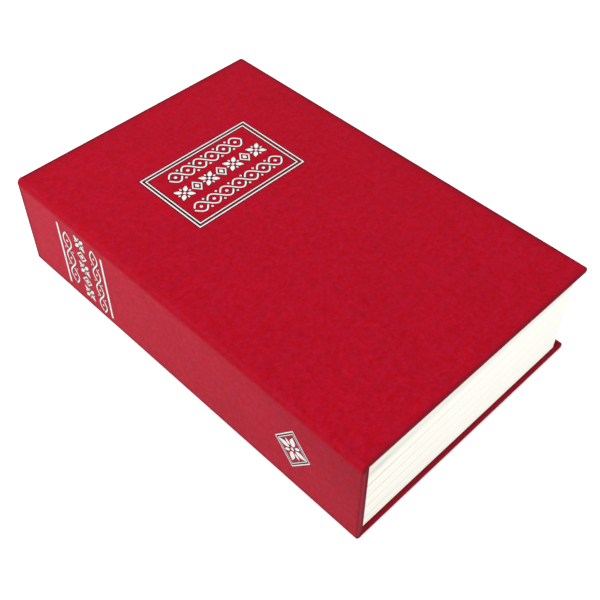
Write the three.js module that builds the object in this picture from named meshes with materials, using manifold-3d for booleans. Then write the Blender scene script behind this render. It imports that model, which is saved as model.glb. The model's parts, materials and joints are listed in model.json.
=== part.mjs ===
import * as THREE from 'three';
import { mergeVertices } from 'three/addons/utils/BufferGeometryUtils.js';
import Module from 'manifold-3d';

const wasm = await Module();
wasm.setup();

// A safe hidden in a hardback book, lying closed on its back cover.
// Millimetres. The origin is the middle of the base. +X points to the fore edge, +Y to the head and +Z up.

// The book as a whole
const BOOK_WIDTH = 155;
const BOOK_HEIGHT = 240;
const BOOK_THICKNESS = 58;

// The case: boards, covering and endpapers
const BOARD = 1.7;
const COVERING = 0.3;
const GLUE_LINE = 0.05;
const ENDPAPER = 0.2;
const ENDPAPER_MARGIN = 5;
const ENDPAPER_JOINT_MARGIN = 1;
const TURN_IN = 14;
const BEND_EASE = 0.6;
const COVER_CORNER = 2;
const FOLD_GAP = 0.3;
const SPINE_BOARD_DROP = 0.8;

// The page frame
const FORE_OVERHANG = 4;
const END_OVERHANG = 2.5;
const PAGE_WALL = 2.2;
const SPINE_WALL = 1.6;
const PAGE_CORNER = 3;
const SHARP_CORNER = 0.3;
const LEDGE_HEIGHT = 4;
const LEDGE_EDGE = 3.4;
const LEDGE_FLOOR = 0.85;
const COVER_GAP = 0.35;
const LEAF_GROOVES = 12;
const GROOVE_DEPTH = 0.4;
const GROOVE_WIDTH = 0.5;

// The steel box and its screws
const SHEET = 0.8;
const LAYER_GAP = 0.05;
const BOX_CORNER = 1.5;
const RIM_WIDTH = 5;
const RIM_GAP = 0.2;
const SCREW_RADIUS = 1.5;
const SCREW_HEAD_RADIUS = 2.75;
const SCREW_HEAD_HEIGHT = 1.4;
const SCREW_EDGE_GAP = 1;
const SCREW_HOLE_GAP = 0.15;
const SCREW_TIP_GAP = 0.3;
const DRIVE_SLOT_WIDTH = 0.7;
const DRIVE_SLOT_LENGTH = 3.3;
const DRIVE_SLOT_DEPTH = 0.7;

// The lid
const HEAD_GAP = 0.25;
const LID_GAP = 0.5;
const SKIRT_GAP = 0.4;
const SKIRT_DEPTH = 6;
const DISH_MARGIN = 4;
const DISH_RIM_GAP = 2.8;
const FLANGE_SHADE = 0.35;

// The hinge and its rivets
const KNUCKLE_RADIUS = 2;
const KNUCKLE_COUNT = 5;
const KNUCKLE_GAP = 0.4;
const KNUCKLE_STEP = 0.15;
const HINGE_LENGTH = 180;
const HINGE_SIDE_GAP = 0.35;
const PIN_RADIUS = 1;
const PIN_CLEARANCE = 0.1;
const PIN_OVERHANG = 0.8;
const LEAF_EDGE = 1.9;
const RIVET_COUNT = 4;
const RIVET_END = 18;
const RIVET_RADIUS = 1.2;
const RIVET_HEAD_RADIUS = 2.1;
const RIVET_HEAD_HEIGHT = 0.5;
const RIVET_HEAD_SLOPE = 0.6;
const RIVET_HOLE_GAP = 0.1;
const RIVET_RIM_GAP = 0.7;

// The cam lock
const PLUG_RADIUS = 6;
const PLUG_CLEARANCE = 0.1;
const PLUG_BASE = 3.6;
const PLUG_WEB = 0.8;
const COLLAR_STEP = 0.8;
const COLLAR_HEIGHT = 1.2;
const HOUSING_WALL = 3;
const HOUSING_FLAT = 1;
const HOUSING_HOLE_GAP = 0.2;
const CHANNEL_DEPTH = 1;
const FLANGE_STEP = 2;
const FLANGE_HEIGHT = 2;
const NUT_WALL = 2.5;
const NUT_HEIGHT = 3;
const WASHER_STEP = 4;
const WASHER_HEIGHT = 1;
const CAM_WIDTH = 10;
const CAM_THICKNESS = 2;
const CAM_WALL = 3.2;
const CAM_GAP = 0.3;
const CAM_TIP_GAP = 2.8;
const CAM_SQUARE = 6;
const SQUARE_GAP = 0.1;
const CAM_SCREW_RADIUS = 1.5;
const CAM_SCREW_LIP = 0.3;
const CAM_SCREW_HEAD_HEIGHT = 1.8;
const KEYWAY_WIDTH = 1.4;
const KEY_TIP_SPACE = 2.1;
const WAFER_COUNT = 4;
const WAFER_WEB = 1.4;
const WAFER_THICKNESS = 1;
const WAFER_SIDE_BAR = 1.75;
const WAFER_END_BAR = 0.95;
const WAFER_WINDOW_GAP = 0.25;
const WAFER_DRAWBACK = 0.15;
const WAFER_LUG_WIDTH = 1.3;
const WAFER_LUG_LENGTH = 1;
const WAFER_CLEARANCE = 0.1;
const FIRST_WAFER_DEPTH = 2.5;
const SPRING_LENGTH = 3.2;

// The strike bracket that the cam turns under
const STRIKE_SHEET = 1.2;
const STRIKE_REACH = 8;
const STRIKE_WIDTH = 24;
const STRIKE_HEIGHT = 14;
const STRIKE_GAP = 0.4;

// How finely round shapes are divided
const ARC_STEPS = 3;
const ROUND_SIDES = 32;
const SMALL_SIDES = 16;
const HEX_SIDES = 6;
const SPRING_SIDES = 8;

// Space by which a cutting shape passes the face that it opens
const PAST = 1;

// The case, worked out from the sizes above
const HALF_WIDTH = BOOK_WIDTH / 2;
const HALF_HEIGHT = BOOK_HEIGHT / 2;
const BOARD_FACE = COVERING + GLUE_LINE;
const TURN_IN_FACE = BOARD_FACE + BOARD + GLUE_LINE;
const PANEL = TURN_IN_FACE + COVERING;
const ENDPAPER_FACE = PANEL + GLUE_LINE;
const COVER_STACK = ENDPAPER_FACE + ENDPAPER;
const BEND_RADIUS = PANEL + BEND_EASE;
const BEND_TOP = BOOK_THICKNESS - BEND_RADIUS;
const JOINT_X = - HALF_WIDTH + BEND_RADIUS;
const FOLD_ANGLE = Math.PI * 3 / 4;
const FOLD_HALF_GAP = FOLD_GAP / BEND_RADIUS / 2;
const SPINE_TOP = BEND_TOP - SPINE_BOARD_DROP;

// The page frame's walls
const FRAME_LEFT = - HALF_WIDTH + PANEL + GLUE_LINE;
const FRAME_RIGHT = HALF_WIDTH - FORE_OVERHANG;
const FRAME_HALF = HALF_HEIGHT - END_OVERHANG;
const FRAME_BASE = COVER_STACK + GLUE_LINE;
const FRAME_TOP = BOOK_THICKNESS - COVER_STACK - COVER_GAP;
const CAVITY_LEFT = FRAME_LEFT + SPINE_WALL;
const CAVITY_RIGHT = FRAME_RIGHT - PAGE_WALL;
const CAVITY_HALF = FRAME_HALF - PAGE_WALL;
const CAVITY_CORNER = Math.max( PAGE_CORNER - PAGE_WALL, SHARP_CORNER );
const LEDGE_TOP = FRAME_BASE + LEDGE_HEIGHT;

// The hinge, the lid and the box inside the frame
const LID_TOP = FRAME_TOP - HEAD_GAP - RIVET_HEAD_HEIGHT - SHEET - LAYER_GAP;
const LID_UNDERSIDE = LID_TOP - SHEET;
const LEAF_OUTER = KNUCKLE_RADIUS + KNUCKLE_STEP;
const LEAF_INNER = LEAF_OUTER - SHEET;
const HINGE_X = CAVITY_LEFT + HINGE_SIDE_GAP + KNUCKLE_RADIUS;
const HINGE_Z = LID_TOP + LAYER_GAP - LEAF_INNER;
const LID_LEFT = HINGE_X + KNUCKLE_RADIUS + KNUCKLE_GAP;
const LID_RIGHT = CAVITY_RIGHT - LID_GAP;
const LID_HALF = CAVITY_HALF - LID_GAP;
const LID_CORNER = CAVITY_CORNER + SKIRT_GAP;
const BOX_LEFT = HINGE_X + LEAF_OUTER + LAYER_GAP;
const BOX_RIGHT = LID_RIGHT - SHEET - SKIRT_GAP;
const BOX_HALF = LID_HALF - SHEET - SKIRT_GAP;
const BOX_BASE = LEDGE_TOP + LAYER_GAP;
const BOX_FLOOR = BOX_BASE + SHEET;
const BOX_TOP = LID_UNDERSIDE - RIM_GAP;
const NOTCH_Z = HINGE_Z - KNUCKLE_RADIUS;
const SCREW_INSET = SHEET + SCREW_HEAD_RADIUS + SCREW_EDGE_GAP;
const SCREW_LENGTH = SHEET + LAYER_GAP + LEDGE_HEIGHT - LEDGE_FLOOR;
const SCREW_HOLE = SCREW_RADIUS + SCREW_HOLE_GAP;
const LEDGE_WIDTH = BOX_LEFT - CAVITY_LEFT + SCREW_INSET + SCREW_RADIUS + LEDGE_EDGE;
const RIVET_REACH = LEAF_OUTER + LAYER_GAP + RIM_WIDTH + RIVET_HEAD_RADIUS + RIVET_RIM_GAP;
const RIVET_HOLE = RIVET_RADIUS + RIVET_HOLE_GAP;
const LEAF_REACH = RIVET_REACH + RIVET_HEAD_RADIUS + LEAF_EDGE;

// The lock's radii, its place and its levels, with level 0 on the floor of the lid's dish
const HOUSING_RADIUS = PLUG_RADIUS + HOUSING_WALL;
const FLANGE_RADIUS = HOUSING_RADIUS + FLANGE_STEP;
const DISH_RADIUS = FLANGE_RADIUS + DISH_MARGIN;
const LOCK_X = BOX_RIGHT - RIM_WIDTH - DISH_RIM_GAP - SHEET - DISH_RADIUS;
const DISH_FLOOR = LID_TOP - FLANGE_SHADE - FLANGE_HEIGHT - LAYER_GAP;
const LOCK_SEAT = DISH_FLOOR + LAYER_GAP;
const WASHER_TOP = - 2 * LAYER_GAP - SHEET;
const NUT_TOP = WASHER_TOP - WASHER_HEIGHT - LAYER_GAP;
const WAFER_PITCH = WAFER_THICKNESS + 2 * WAFER_CLEARANCE + WAFER_WEB;
const KEYWAY_END = - FIRST_WAFER_DEPTH - ( WAFER_COUNT - 1 ) * WAFER_PITCH - KEY_TIP_SPACE;
const HOUSING_END = KEYWAY_END - PLUG_BASE;
const CAM_TOP = HOUSING_END - CAM_GAP;
const CAM_BASE = CAM_TOP - CAM_THICKNESS;
const SQUARE_END = CAM_BASE + SQUARE_GAP;
const SCREW_POCKET_END = KEYWAY_END - PLUG_WEB;
const CAM_REACH = BOX_RIGHT - SHEET - LOCK_X - CAM_TIP_GAP;

// The wafers, worked out from the plug
const WAFER_WINDOW_WIDTH = KEYWAY_WIDTH + 2 * WAFER_WINDOW_GAP;
const WAFER_HALF_WIDTH = WAFER_WINDOW_WIDTH / 2 + WAFER_SIDE_BAR;
const WAFER_HALF_LENGTH = Math.sqrt( PLUG_RADIUS ** 2 - WAFER_HALF_WIDTH ** 2 ) - WAFER_DRAWBACK;
const WAFER_WINDOW_LENGTH = 2 * ( WAFER_HALF_LENGTH - WAFER_END_BAR );
const KEYWAY_HEIGHT = WAFER_WINDOW_LENGTH - 2 * WAFER_WINDOW_GAP;
const WAFER_SLOT = WAFER_HALF_WIDTH + WAFER_CLEARANCE;
const LUG_REACH = WAFER_HALF_WIDTH + WAFER_LUG_WIDTH;

// Colours and surfaces
const coveringRed = new THREE.MeshStandardMaterial( { color: 0xb5162c, roughness: 0.7, metalness: 0 } );
const boardGrey = new THREE.MeshStandardMaterial( { color: 0x9a8f80, roughness: 0.95, metalness: 0 } );
const paperCream = new THREE.MeshStandardMaterial( { color: 0xf3eddc, roughness: 0.9, metalness: 0 } );
const pageIvory = new THREE.MeshStandardMaterial( { color: 0xfbf8ec, roughness: 0.6, metalness: 0 } );
const boxPaint = new THREE.MeshStandardMaterial( { color: 0x2b2d30, roughness: 0.55, metalness: 0.3 } );
const zincSteel = new THREE.MeshStandardMaterial( { color: 0xb9bcc0, roughness: 0.4, metalness: 1 } );
const lockChrome = new THREE.MeshStandardMaterial( { color: 0xd6d8db, roughness: 0.15, metalness: 1 } );
const waferBrass = new THREE.MeshStandardMaterial( { color: 0xc49a45, roughness: 0.35, metalness: 1 } );

// A closed geometry as a solid that can be joined and cut
function solidOf( geometry ) {

	const bare = geometry.clone();
	bare.deleteAttribute( 'normal' );
	bare.deleteAttribute( 'uv' );
	const welded = mergeVertices( bare );
	const corners = Array.from( welded.index.array );
	const triangles = [];
	for ( let i = 0; i < corners.length; i += 3 ) {

		const [ a, b, c ] = corners.slice( i, i + 3 );
		if ( a !== b && b !== c && c !== a ) triangles.push( a, b, c );

	}

	return new wasm.Manifold( new wasm.Mesh( {
		numProp: 3,
		vertProperties: new Float32Array( welded.attributes.position.array ),
		triVerts: new Uint32Array( triangles )
	} ) );

}

// A solid as a named mesh with a material of its own
function meshOf( name, solid, material ) {

	const faces = solid.getMesh();
	const geometry = new THREE.BufferGeometry();
	geometry.setAttribute( 'position', new THREE.BufferAttribute( faces.vertProperties, 3 ) );
	geometry.setIndex( new THREE.BufferAttribute( faces.triVerts, 1 ) );
	geometry.computeVertexNormals();
	const mesh = new THREE.Mesh( geometry, material.clone() );
	mesh.name = name;
	return mesh;

}

// A box between two limits in X, in Y and in Z, given in either order
function block( ...limits ) {

	const size = limits.map( ( [ one, two ] ) => Math.abs( two - one ) );
	const middle = limits.map( ( [ one, two ] ) => ( one + two ) / 2 );
	return solidOf( new THREE.BoxGeometry( ...size ).translate( ...middle ) );

}

// An outline in X and Y, raised between two levels
function slab( shape, zOne, zTwo ) {

	const options = { depth: Math.abs( zTwo - zOne ), bevelEnabled: false, curveSegments: ARC_STEPS };
	const geometry = new THREE.ExtrudeGeometry( shape, options );
	return solidOf( geometry.translate( 0, 0, Math.min( zOne, zTwo ) ) );

}

// A section in X and Z, run along the whole book from tail to head
function alongBook( section ) {

	const options = { depth: BOOK_HEIGHT, bevelEnabled: false, curveSegments: ARC_STEPS };
	const geometry = new THREE.ExtrudeGeometry( section, options );
	return solidOf( geometry.rotateX( Math.PI / 2 ).translate( 0, HALF_HEIGHT, 0 ) );

}

// A round rod from one point to another
function rod( radius, from, to, sides = SMALL_SIDES ) {

	const start = new THREE.Vector3( ...from );
	const run = new THREE.Vector3( ...to ).sub( start );
	const length = run.length();
	const turn = new THREE.Quaternion().setFromUnitVectors( new THREE.Vector3( 0, 1, 0 ), run.normalize() );
	const geometry = new THREE.CylinderGeometry( radius, radius, length, sides );
	return solidOf( geometry.translate( 0, length / 2, 0 ).applyQuaternion( turn ).translate( ...from ) );

}

// A round rod along Z between two levels
function post( radius, zOne, zTwo, x = 0, sides = ROUND_SIDES ) {

	return rod( radius, [ x, 0, Math.min( zOne, zTwo ) ], [ x, 0, Math.max( zOne, zTwo ) ], sides );

}

// A piece turned about Z from pairs of radius and height
function turned( profile, sides ) {

	const points = profile.map( ( [ radius, height ] ) => new THREE.Vector2( radius, height ) );
	return solidOf( new THREE.LatheGeometry( points, sides ).rotateX( Math.PI / 2 ) );

}

// A solid with each of a list of solids cut from it
function cutAll( solid, cutters ) {

	return cutters.reduce( ( rest, cutter ) => rest.subtract( cutter ), solid );

}

// A rectangle about Y = 0 with round corners on the right and, where asked, on the left
function outline( left, right, half, rightRadius, leftRadius = 0 ) {

	const shape = new THREE.Shape();
	shape.moveTo( left + leftRadius, - half );
	shape.lineTo( right - rightRadius, - half );
	shape.absarc( right - rightRadius, - half + rightRadius, rightRadius, - Math.PI / 2, 0, false );
	shape.absarc( right - rightRadius, half - rightRadius, rightRadius, 0, Math.PI / 2, false );
	if ( leftRadius > 0 ) {

		shape.absarc( left + leftRadius, half - leftRadius, leftRadius, Math.PI / 2, Math.PI, false );
		shape.absarc( left + leftRadius, - half + leftRadius, leftRadius, Math.PI, Math.PI * 3 / 2, false );

	} else {

		shape.lineTo( left, half );

	}

	return shape;

}

// Both covers are laid up the same way from the outside in, so a depth gives a level in each
const backLevel = ( depth ) => depth;
const frontLevel = ( depth ) => BOOK_THICKNESS - depth;

function coverBoard( level ) {

	const right = HALF_WIDTH - BOARD_FACE;
	const shape = outline( JOINT_X, right, HALF_HEIGHT - BOARD_FACE, COVER_CORNER - BOARD_FACE );
	return slab( shape, level( BOARD_FACE ), level( BOARD_FACE + BOARD ) );

}

// The covering wraps the board and turns in over three of its edges
function coverSheet( level ) {

	const open = JOINT_X - PAST;
	const whole = outline( JOINT_X, HALF_WIDTH, HALF_HEIGHT, COVER_CORNER );
	const pocket = outline( open, HALF_WIDTH - COVERING, HALF_HEIGHT - COVERING, COVER_CORNER - COVERING );
	const window = outline( open, HALF_WIDTH - TURN_IN, HALF_HEIGHT - TURN_IN, COVER_CORNER );
	return cutAll( slab( whole, level( 0 ), level( PANEL ) ), [
		slab( pocket, level( COVERING ), level( TURN_IN_FACE ) ),
		slab( window, level( TURN_IN_FACE - GLUE_LINE ), level( PANEL + PAST ) )
	] );

}

// The endpaper overlaps the turned-in covering and fills the space between it
function endpaper( level ) {

	const left = JOINT_X + ENDPAPER_JOINT_MARGIN;
	const inset = TURN_IN + GLUE_LINE;
	const sheet = outline( left, HALF_WIDTH - ENDPAPER_MARGIN, HALF_HEIGHT - ENDPAPER_MARGIN, COVER_CORNER );
	const filler = outline( left, HALF_WIDTH - inset, HALF_HEIGHT - inset, COVER_CORNER );
	return slab( sheet, level( ENDPAPER_FACE ), level( COVER_STACK ) )
		.add( slab( filler, level( TURN_IN_FACE ), level( COVER_STACK ) ) );

}

// The front covering carries half of the fold that it swings on
function frontCovering() {

	const start = FOLD_ANGLE - FOLD_HALF_GAP;
	const bend = new THREE.Shape();
	bend.absarc( JOINT_X, BEND_TOP, BEND_RADIUS, start, Math.PI / 2, true );
	bend.lineTo( JOINT_X + BEND_RADIUS, BOOK_THICKNESS );
	bend.lineTo( JOINT_X + BEND_RADIUS, BOOK_THICKNESS - COVERING );
	bend.absarc( JOINT_X, BEND_TOP, BEND_RADIUS - COVERING, Math.PI / 2, start, false );
	return coverSheet( frontLevel ).add( alongBook( bend ) );

}

function spineBoard() {

	const left = - HALF_WIDTH + BOARD_FACE;
	const end = HALF_HEIGHT - BOARD_FACE;
	return block( [ left, left + BOARD ], [ - end, end ], [ BEND_RADIUS, SPINE_TOP ] );

}

// The spine covering runs from the back cover's edge to the middle of the front fold
function spineCovering() {

	const inner = BEND_RADIUS - COVERING;
	const stop = FOLD_ANGLE + FOLD_HALF_GAP;
	const skin = new THREE.Shape();
	skin.absarc( JOINT_X, BEND_RADIUS, BEND_RADIUS, Math.PI * 3 / 2, Math.PI, true );
	skin.absarc( JOINT_X, BEND_TOP, BEND_RADIUS, Math.PI, stop, true );
	skin.absarc( JOINT_X, BEND_TOP, inner, stop, Math.PI, false );
	skin.absarc( JOINT_X, BEND_RADIUS, inner, Math.PI, Math.PI * 3 / 2, false );
	const left = - HALF_WIDTH;
	const turnIns = [ - 1, 1 ].map( ( side ) => {

		const end = side * HALF_HEIGHT;
		const wrap = block( [ left, left + PANEL ], [ end, end - side * TURN_IN ], [ BEND_RADIUS, SPINE_TOP ] );
		return wrap.subtract( block(
			[ left + COVERING, left + TURN_IN_FACE ],
			[ end - side * COVERING, end - side * ( TURN_IN + PAST ) ],
			[ BEND_RADIUS - PAST, SPINE_TOP + PAST ]
		) );

	} );
	return turnIns.reduce( ( covering, turnIn ) => covering.add( turnIn ), alongBook( skin ) );

}

// Places along the book that repeat

function grooveLevels() {

	const step = ( FRAME_TOP - FRAME_BASE ) / ( LEAF_GROOVES + 1 );
	return Array.from( { length: LEAF_GROOVES }, ( _, i ) => FRAME_BASE + step * ( i + 1 ) );

}

function screwPlaces() {

	const xs = [ BOX_LEFT + SCREW_INSET, BOX_RIGHT - SCREW_INSET ];
	const ys = [ - BOX_HALF + SCREW_INSET, BOX_HALF - SCREW_INSET ];
	return xs.flatMap( ( x ) => ys.map( ( y ) => [ x, y ] ) );

}

function rivetPlaces() {

	const first = - HINGE_LENGTH / 2 + RIVET_END;
	const spacing = - 2 * first / ( RIVET_COUNT - 1 );
	return Array.from( { length: RIVET_COUNT }, ( _, i ) => first + i * spacing );

}

// The page frame: a moulded ring with leaf lines on three sides and a ledge inside for the box

function leafGroove( z ) {

	const depth = GROOVE_DEPTH;
	const left = FRAME_LEFT - PAST;
	const shape = outline( left - PAST, FRAME_RIGHT + PAST, FRAME_HALF + PAST, PAGE_CORNER + PAST );
	shape.holes.push( outline( left, FRAME_RIGHT - depth, FRAME_HALF - depth, PAGE_CORNER - depth ) );
	return slab( shape, z - GROOVE_WIDTH / 2, z + GROOVE_WIDTH / 2 );

}

function pageFrame() {

	const body = outline( FRAME_LEFT, FRAME_RIGHT, FRAME_HALF, PAGE_CORNER );
	const cavity = outline( CAVITY_LEFT, CAVITY_RIGHT, CAVITY_HALF, CAVITY_CORNER );
	const window = outline(
		CAVITY_LEFT + LEDGE_WIDTH, CAVITY_RIGHT - LEDGE_WIDTH, CAVITY_HALF - LEDGE_WIDTH, PAGE_CORNER, PAGE_CORNER
	);
	const holeBase = BOX_FLOOR - SCREW_LENGTH - SCREW_TIP_GAP;
	const notchAcross = [ FRAME_LEFT - PAST, CAVITY_LEFT + PAST ];
	return cutAll( slab( body, FRAME_BASE, FRAME_TOP ), [
		slab( cavity, LEDGE_TOP, FRAME_TOP + PAST ),
		slab( window, FRAME_BASE - PAST, LEDGE_TOP + PAST ),
		block( notchAcross, [ - CAVITY_HALF, CAVITY_HALF ], [ NOTCH_Z, FRAME_TOP + PAST ] ),
		...grooveLevels().map( leafGroove ),
		...screwPlaces().map( ( [ x, y ] ) => rod( SCREW_HOLE, [ x, y, holeBase ], [ x, y, LEDGE_TOP + PAST ] ) )
	] );

}

// The steel box: a folded tray with an inward rim
function boxTray() {

	const bend = Math.max( BOX_CORNER - SHEET, SHARP_CORNER );
	const outside = outline( BOX_LEFT, BOX_RIGHT, BOX_HALF, BOX_CORNER, BOX_CORNER );
	const inside = outline( BOX_LEFT + SHEET, BOX_RIGHT - SHEET, BOX_HALF - SHEET, bend, bend );
	const rim = RIM_WIDTH;
	const mouth = outline( BOX_LEFT + rim, BOX_RIGHT - rim, BOX_HALF - rim, BOX_CORNER, BOX_CORNER );
	const under = BOX_BASE - PAST;
	const over = BOX_FLOOR + PAST;
	const rivetZ = HINGE_Z - RIVET_REACH;
	return cutAll( slab( outside, BOX_BASE, BOX_TOP ), [
		slab( inside, BOX_FLOOR, BOX_TOP - SHEET ),
		slab( mouth, BOX_TOP - SHEET - PAST, BOX_TOP + PAST ),
		...screwPlaces().map( ( [ x, y ] ) => rod( SCREW_HOLE, [ x, y, under ], [ x, y, over ] ) ),
		...rivetPlaces().map( ( y ) => rod(
			RIVET_HOLE, [ BOX_LEFT - PAST, y, rivetZ ], [ BOX_LEFT + SHEET + PAST, y, rivetZ ]
		) )
	] );

}

// A pan head screw that points down, with its seat at level 0
function boxScrew() {

	const shoulder = SCREW_HEAD_HEIGHT / 2;
	const slotHalf = DRIVE_SLOT_WIDTH / 2;
	const slotReach = DRIVE_SLOT_LENGTH / 2;
	const slotLevels = [ SCREW_HEAD_HEIGHT - DRIVE_SLOT_DEPTH, SCREW_HEAD_HEIGHT + PAST ];
	const body = turned( [
		[ 0, - SCREW_LENGTH ],
		[ SCREW_RADIUS, - SCREW_LENGTH ],
		[ SCREW_RADIUS, LAYER_GAP ],
		[ SCREW_HEAD_RADIUS, LAYER_GAP ],
		[ SCREW_HEAD_RADIUS, shoulder ],
		[ SCREW_HEAD_RADIUS - shoulder, SCREW_HEAD_HEIGHT ],
		[ 0, SCREW_HEAD_HEIGHT ]
	], SMALL_SIDES );
	return cutAll( body, [
		block( [ - slotReach, slotReach ], [ - slotHalf, slotHalf ], slotLevels ),
		block( [ - slotHalf, slotHalf ], [ - slotReach, slotReach ], slotLevels )
	] );

}

// The strike is an angle on the box's fore wall, with one leg just above the cam
function strikeBracket() {

	const wall = BOX_RIGHT - SHEET - LAYER_GAP;
	const base = LOCK_SEAT + CAM_TOP + STRIKE_GAP;
	const across = [ - STRIKE_WIDTH / 2, STRIKE_WIDTH / 2 ];
	return block( [ wall - STRIKE_REACH, wall ], across, [ base, base + STRIKE_SHEET ] )
		.add( block( [ wall - STRIKE_SHEET, wall ], across, [ base, base + STRIKE_HEIGHT ] ) );

}

// The lid: a plate with a skirt on three sides and a pressed dish for the lock
function lidPanel() {

	const skirtEnd = LID_TOP - SKIRT_DEPTH;
	const innerCorner = Math.max( LID_CORNER - SHEET, SHARP_CORNER );
	const outside = outline( LID_LEFT, LID_RIGHT, LID_HALF, LID_CORNER );
	const inside = outline( LID_LEFT - PAST, LID_RIGHT - SHEET, LID_HALF - SHEET, innerCorner );
	const rivetX = HINGE_X + RIVET_REACH;
	const tray = slab( outside, skirtEnd, LID_TOP )
		.subtract( slab( inside, skirtEnd - PAST, LID_UNDERSIDE ) )
		.add( post( DISH_RADIUS + SHEET, DISH_FLOOR - SHEET, LID_TOP, LOCK_X ) );
	return cutAll( tray, [
		post( DISH_RADIUS, DISH_FLOOR, LID_TOP + PAST, LOCK_X ),
		doubleFlat( HOUSING_HOLE_GAP, DISH_FLOOR - SHEET - PAST, DISH_FLOOR + PAST, LOCK_X ),
		...rivetPlaces().map( ( y ) => rod(
			RIVET_HOLE, [ rivetX, y, LID_UNDERSIDE - PAST ], [ rivetX, y, LID_TOP + PAST ]
		) )
	] );

}

// A hinge leaf about its pin: it lies along +X above the pin, and every second knuckle is its own
function hingeLeaf( firstKnuckle ) {

	const half = HINGE_LENGTH / 2;
	const plateStart = KNUCKLE_RADIUS + KNUCKLE_GAP;
	const pitch = ( HINGE_LENGTH + KNUCKLE_GAP ) / KNUCKLE_COUNT;
	const bore = PIN_RADIUS + PIN_CLEARANCE;
	let leaf = block( [ plateStart, LEAF_REACH ], [ - half, half ], [ LEAF_INNER, LEAF_OUTER ] );
	for ( let i = firstKnuckle; i < KNUCKLE_COUNT; i += 2 ) {

		const low = - half + i * pitch;
		const high = low + pitch - KNUCKLE_GAP;
		leaf = leaf
			.add( rod( KNUCKLE_RADIUS, [ 0, low, 0 ], [ 0, high, 0 ] ) )
			.add( block( [ 0, plateStart + PAST ], [ low, high ], [ LEAF_INNER, LEAF_OUTER ] ) );

	}

	return cutAll( leaf, [
		rod( bore, [ 0, - half - PAST, 0 ], [ 0, half + PAST, 0 ] ),
		...rivetPlaces().map( ( y ) => rod(
			RIVET_HOLE, [ RIVET_REACH, y, LEAF_INNER - PAST ], [ RIVET_REACH, y, LEAF_OUTER + PAST ]
		) )
	] );

}

function hingePin() {

	const half = HINGE_LENGTH / 2 + PIN_OVERHANG;
	return rod( PIN_RADIUS, [ 0, - half, 0 ], [ 0, half, 0 ] );

}

// A rivet through a leaf and the sheet under it, with level 0 on the leaf
function hingeRivet() {

	const farFace = - 2 * SHEET - 2 * LAYER_GAP;
	return turned( [
		[ 0, farFace - RIVET_HEAD_HEIGHT ],
		[ RIVET_HEAD_RADIUS - RIVET_HEAD_SLOPE, farFace - RIVET_HEAD_HEIGHT ],
		[ RIVET_HEAD_RADIUS, farFace ],
		[ RIVET_RADIUS, farFace ],
		[ RIVET_RADIUS, LAYER_GAP ],
		[ RIVET_HEAD_RADIUS, LAYER_GAP ],
		[ RIVET_HEAD_RADIUS - RIVET_HEAD_SLOPE, RIVET_HEAD_HEIGHT ],
		[ 0, RIVET_HEAD_HEIGHT ]
	], SMALL_SIDES );

}

// A round bar with two flats, which keeps the lock from turning in the lid
function doubleFlat( gap, zOne, zTwo, x = 0 ) {

	const radius = HOUSING_RADIUS + gap;
	const flat = radius - HOUSING_FLAT;
	const across = [ x - radius - PAST, x + radius + PAST ];
	return post( radius, zOne, zTwo, x )
		.intersect( block( across, [ - flat, flat ], [ zOne - PAST, zTwo + PAST ] ) );

}

function lockHousing() {

	const bore = PLUG_RADIUS + PLUG_CLEARANCE;
	const channel = PLUG_RADIUS + CHANNEL_DEPTH;
	const edge = FLANGE_HEIGHT / 2;
	const flange = turned( [
		[ 0, 0 ],
		[ FLANGE_RADIUS, 0 ],
		[ FLANGE_RADIUS, edge ],
		[ FLANGE_RADIUS - edge, FLANGE_HEIGHT ],
		[ 0, FLANGE_HEIGHT ]
	], ROUND_SIDES );
	return cutAll( doubleFlat( 0, HOUSING_END, edge ).add( flange ), [
		post( bore, HOUSING_END - PAST, FLANGE_HEIGHT + PAST ),
		post( bore + COLLAR_STEP, FLANGE_HEIGHT - COLLAR_HEIGHT, FLANGE_HEIGHT + PAST ),
		block( [ - channel, channel ], [ - WAFER_SLOT, WAFER_SLOT ], [ HOUSING_END - PAST, - CHANNEL_DEPTH ] )
	] );

}

function waferLevels() {

	return Array.from( { length: WAFER_COUNT }, ( _, i ) => - FIRST_WAFER_DEPTH - i * WAFER_PITCH );

}

// The plug has a keyway, a slot for each wafer with a pocket for its spring, and a square end for the cam
function lockPlug() {

	const square = [ - CAM_SQUARE / 2, CAM_SQUARE / 2 ];
	const through = PLUG_RADIUS + PAST;
	const body = post( PLUG_RADIUS, HOUSING_END, FLANGE_HEIGHT )
		.add( post( PLUG_RADIUS + COLLAR_STEP, FLANGE_HEIGHT - COLLAR_HEIGHT + PLUG_CLEARANCE, FLANGE_HEIGHT ) )
		.add( block( square, square, [ SQUARE_END, HOUSING_END + PAST ] ) );
	const slots = waferLevels().flatMap( ( z ) => {

		const level = z + WAFER_THICKNESS / 2 + WAFER_CLEARANCE;
		const levels = [ level - WAFER_THICKNESS - 2 * WAFER_CLEARANCE, level ];
		const pocket = [ - SPRING_LENGTH - 2 * WAFER_CLEARANCE, WAFER_LUG_LENGTH + WAFER_CLEARANCE ];
		return [
			block( [ - through, through ], [ - WAFER_SLOT, WAFER_SLOT ], levels ),
			block( pocket, [ - LUG_REACH - WAFER_CLEARANCE, 0 ], levels )
		];

	} );
	return cutAll( body, [
		post( CAM_SCREW_RADIUS + SQUARE_GAP, SQUARE_END - PAST, SCREW_POCKET_END, 0, SMALL_SIDES ),
		block(
			[ - KEYWAY_HEIGHT / 2, KEYWAY_HEIGHT / 2 ],
			[ - KEYWAY_WIDTH / 2, KEYWAY_WIDTH / 2 ],
			[ KEYWAY_END, FLANGE_HEIGHT + PAST ]
		),
		...slots
	] );

}

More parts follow.
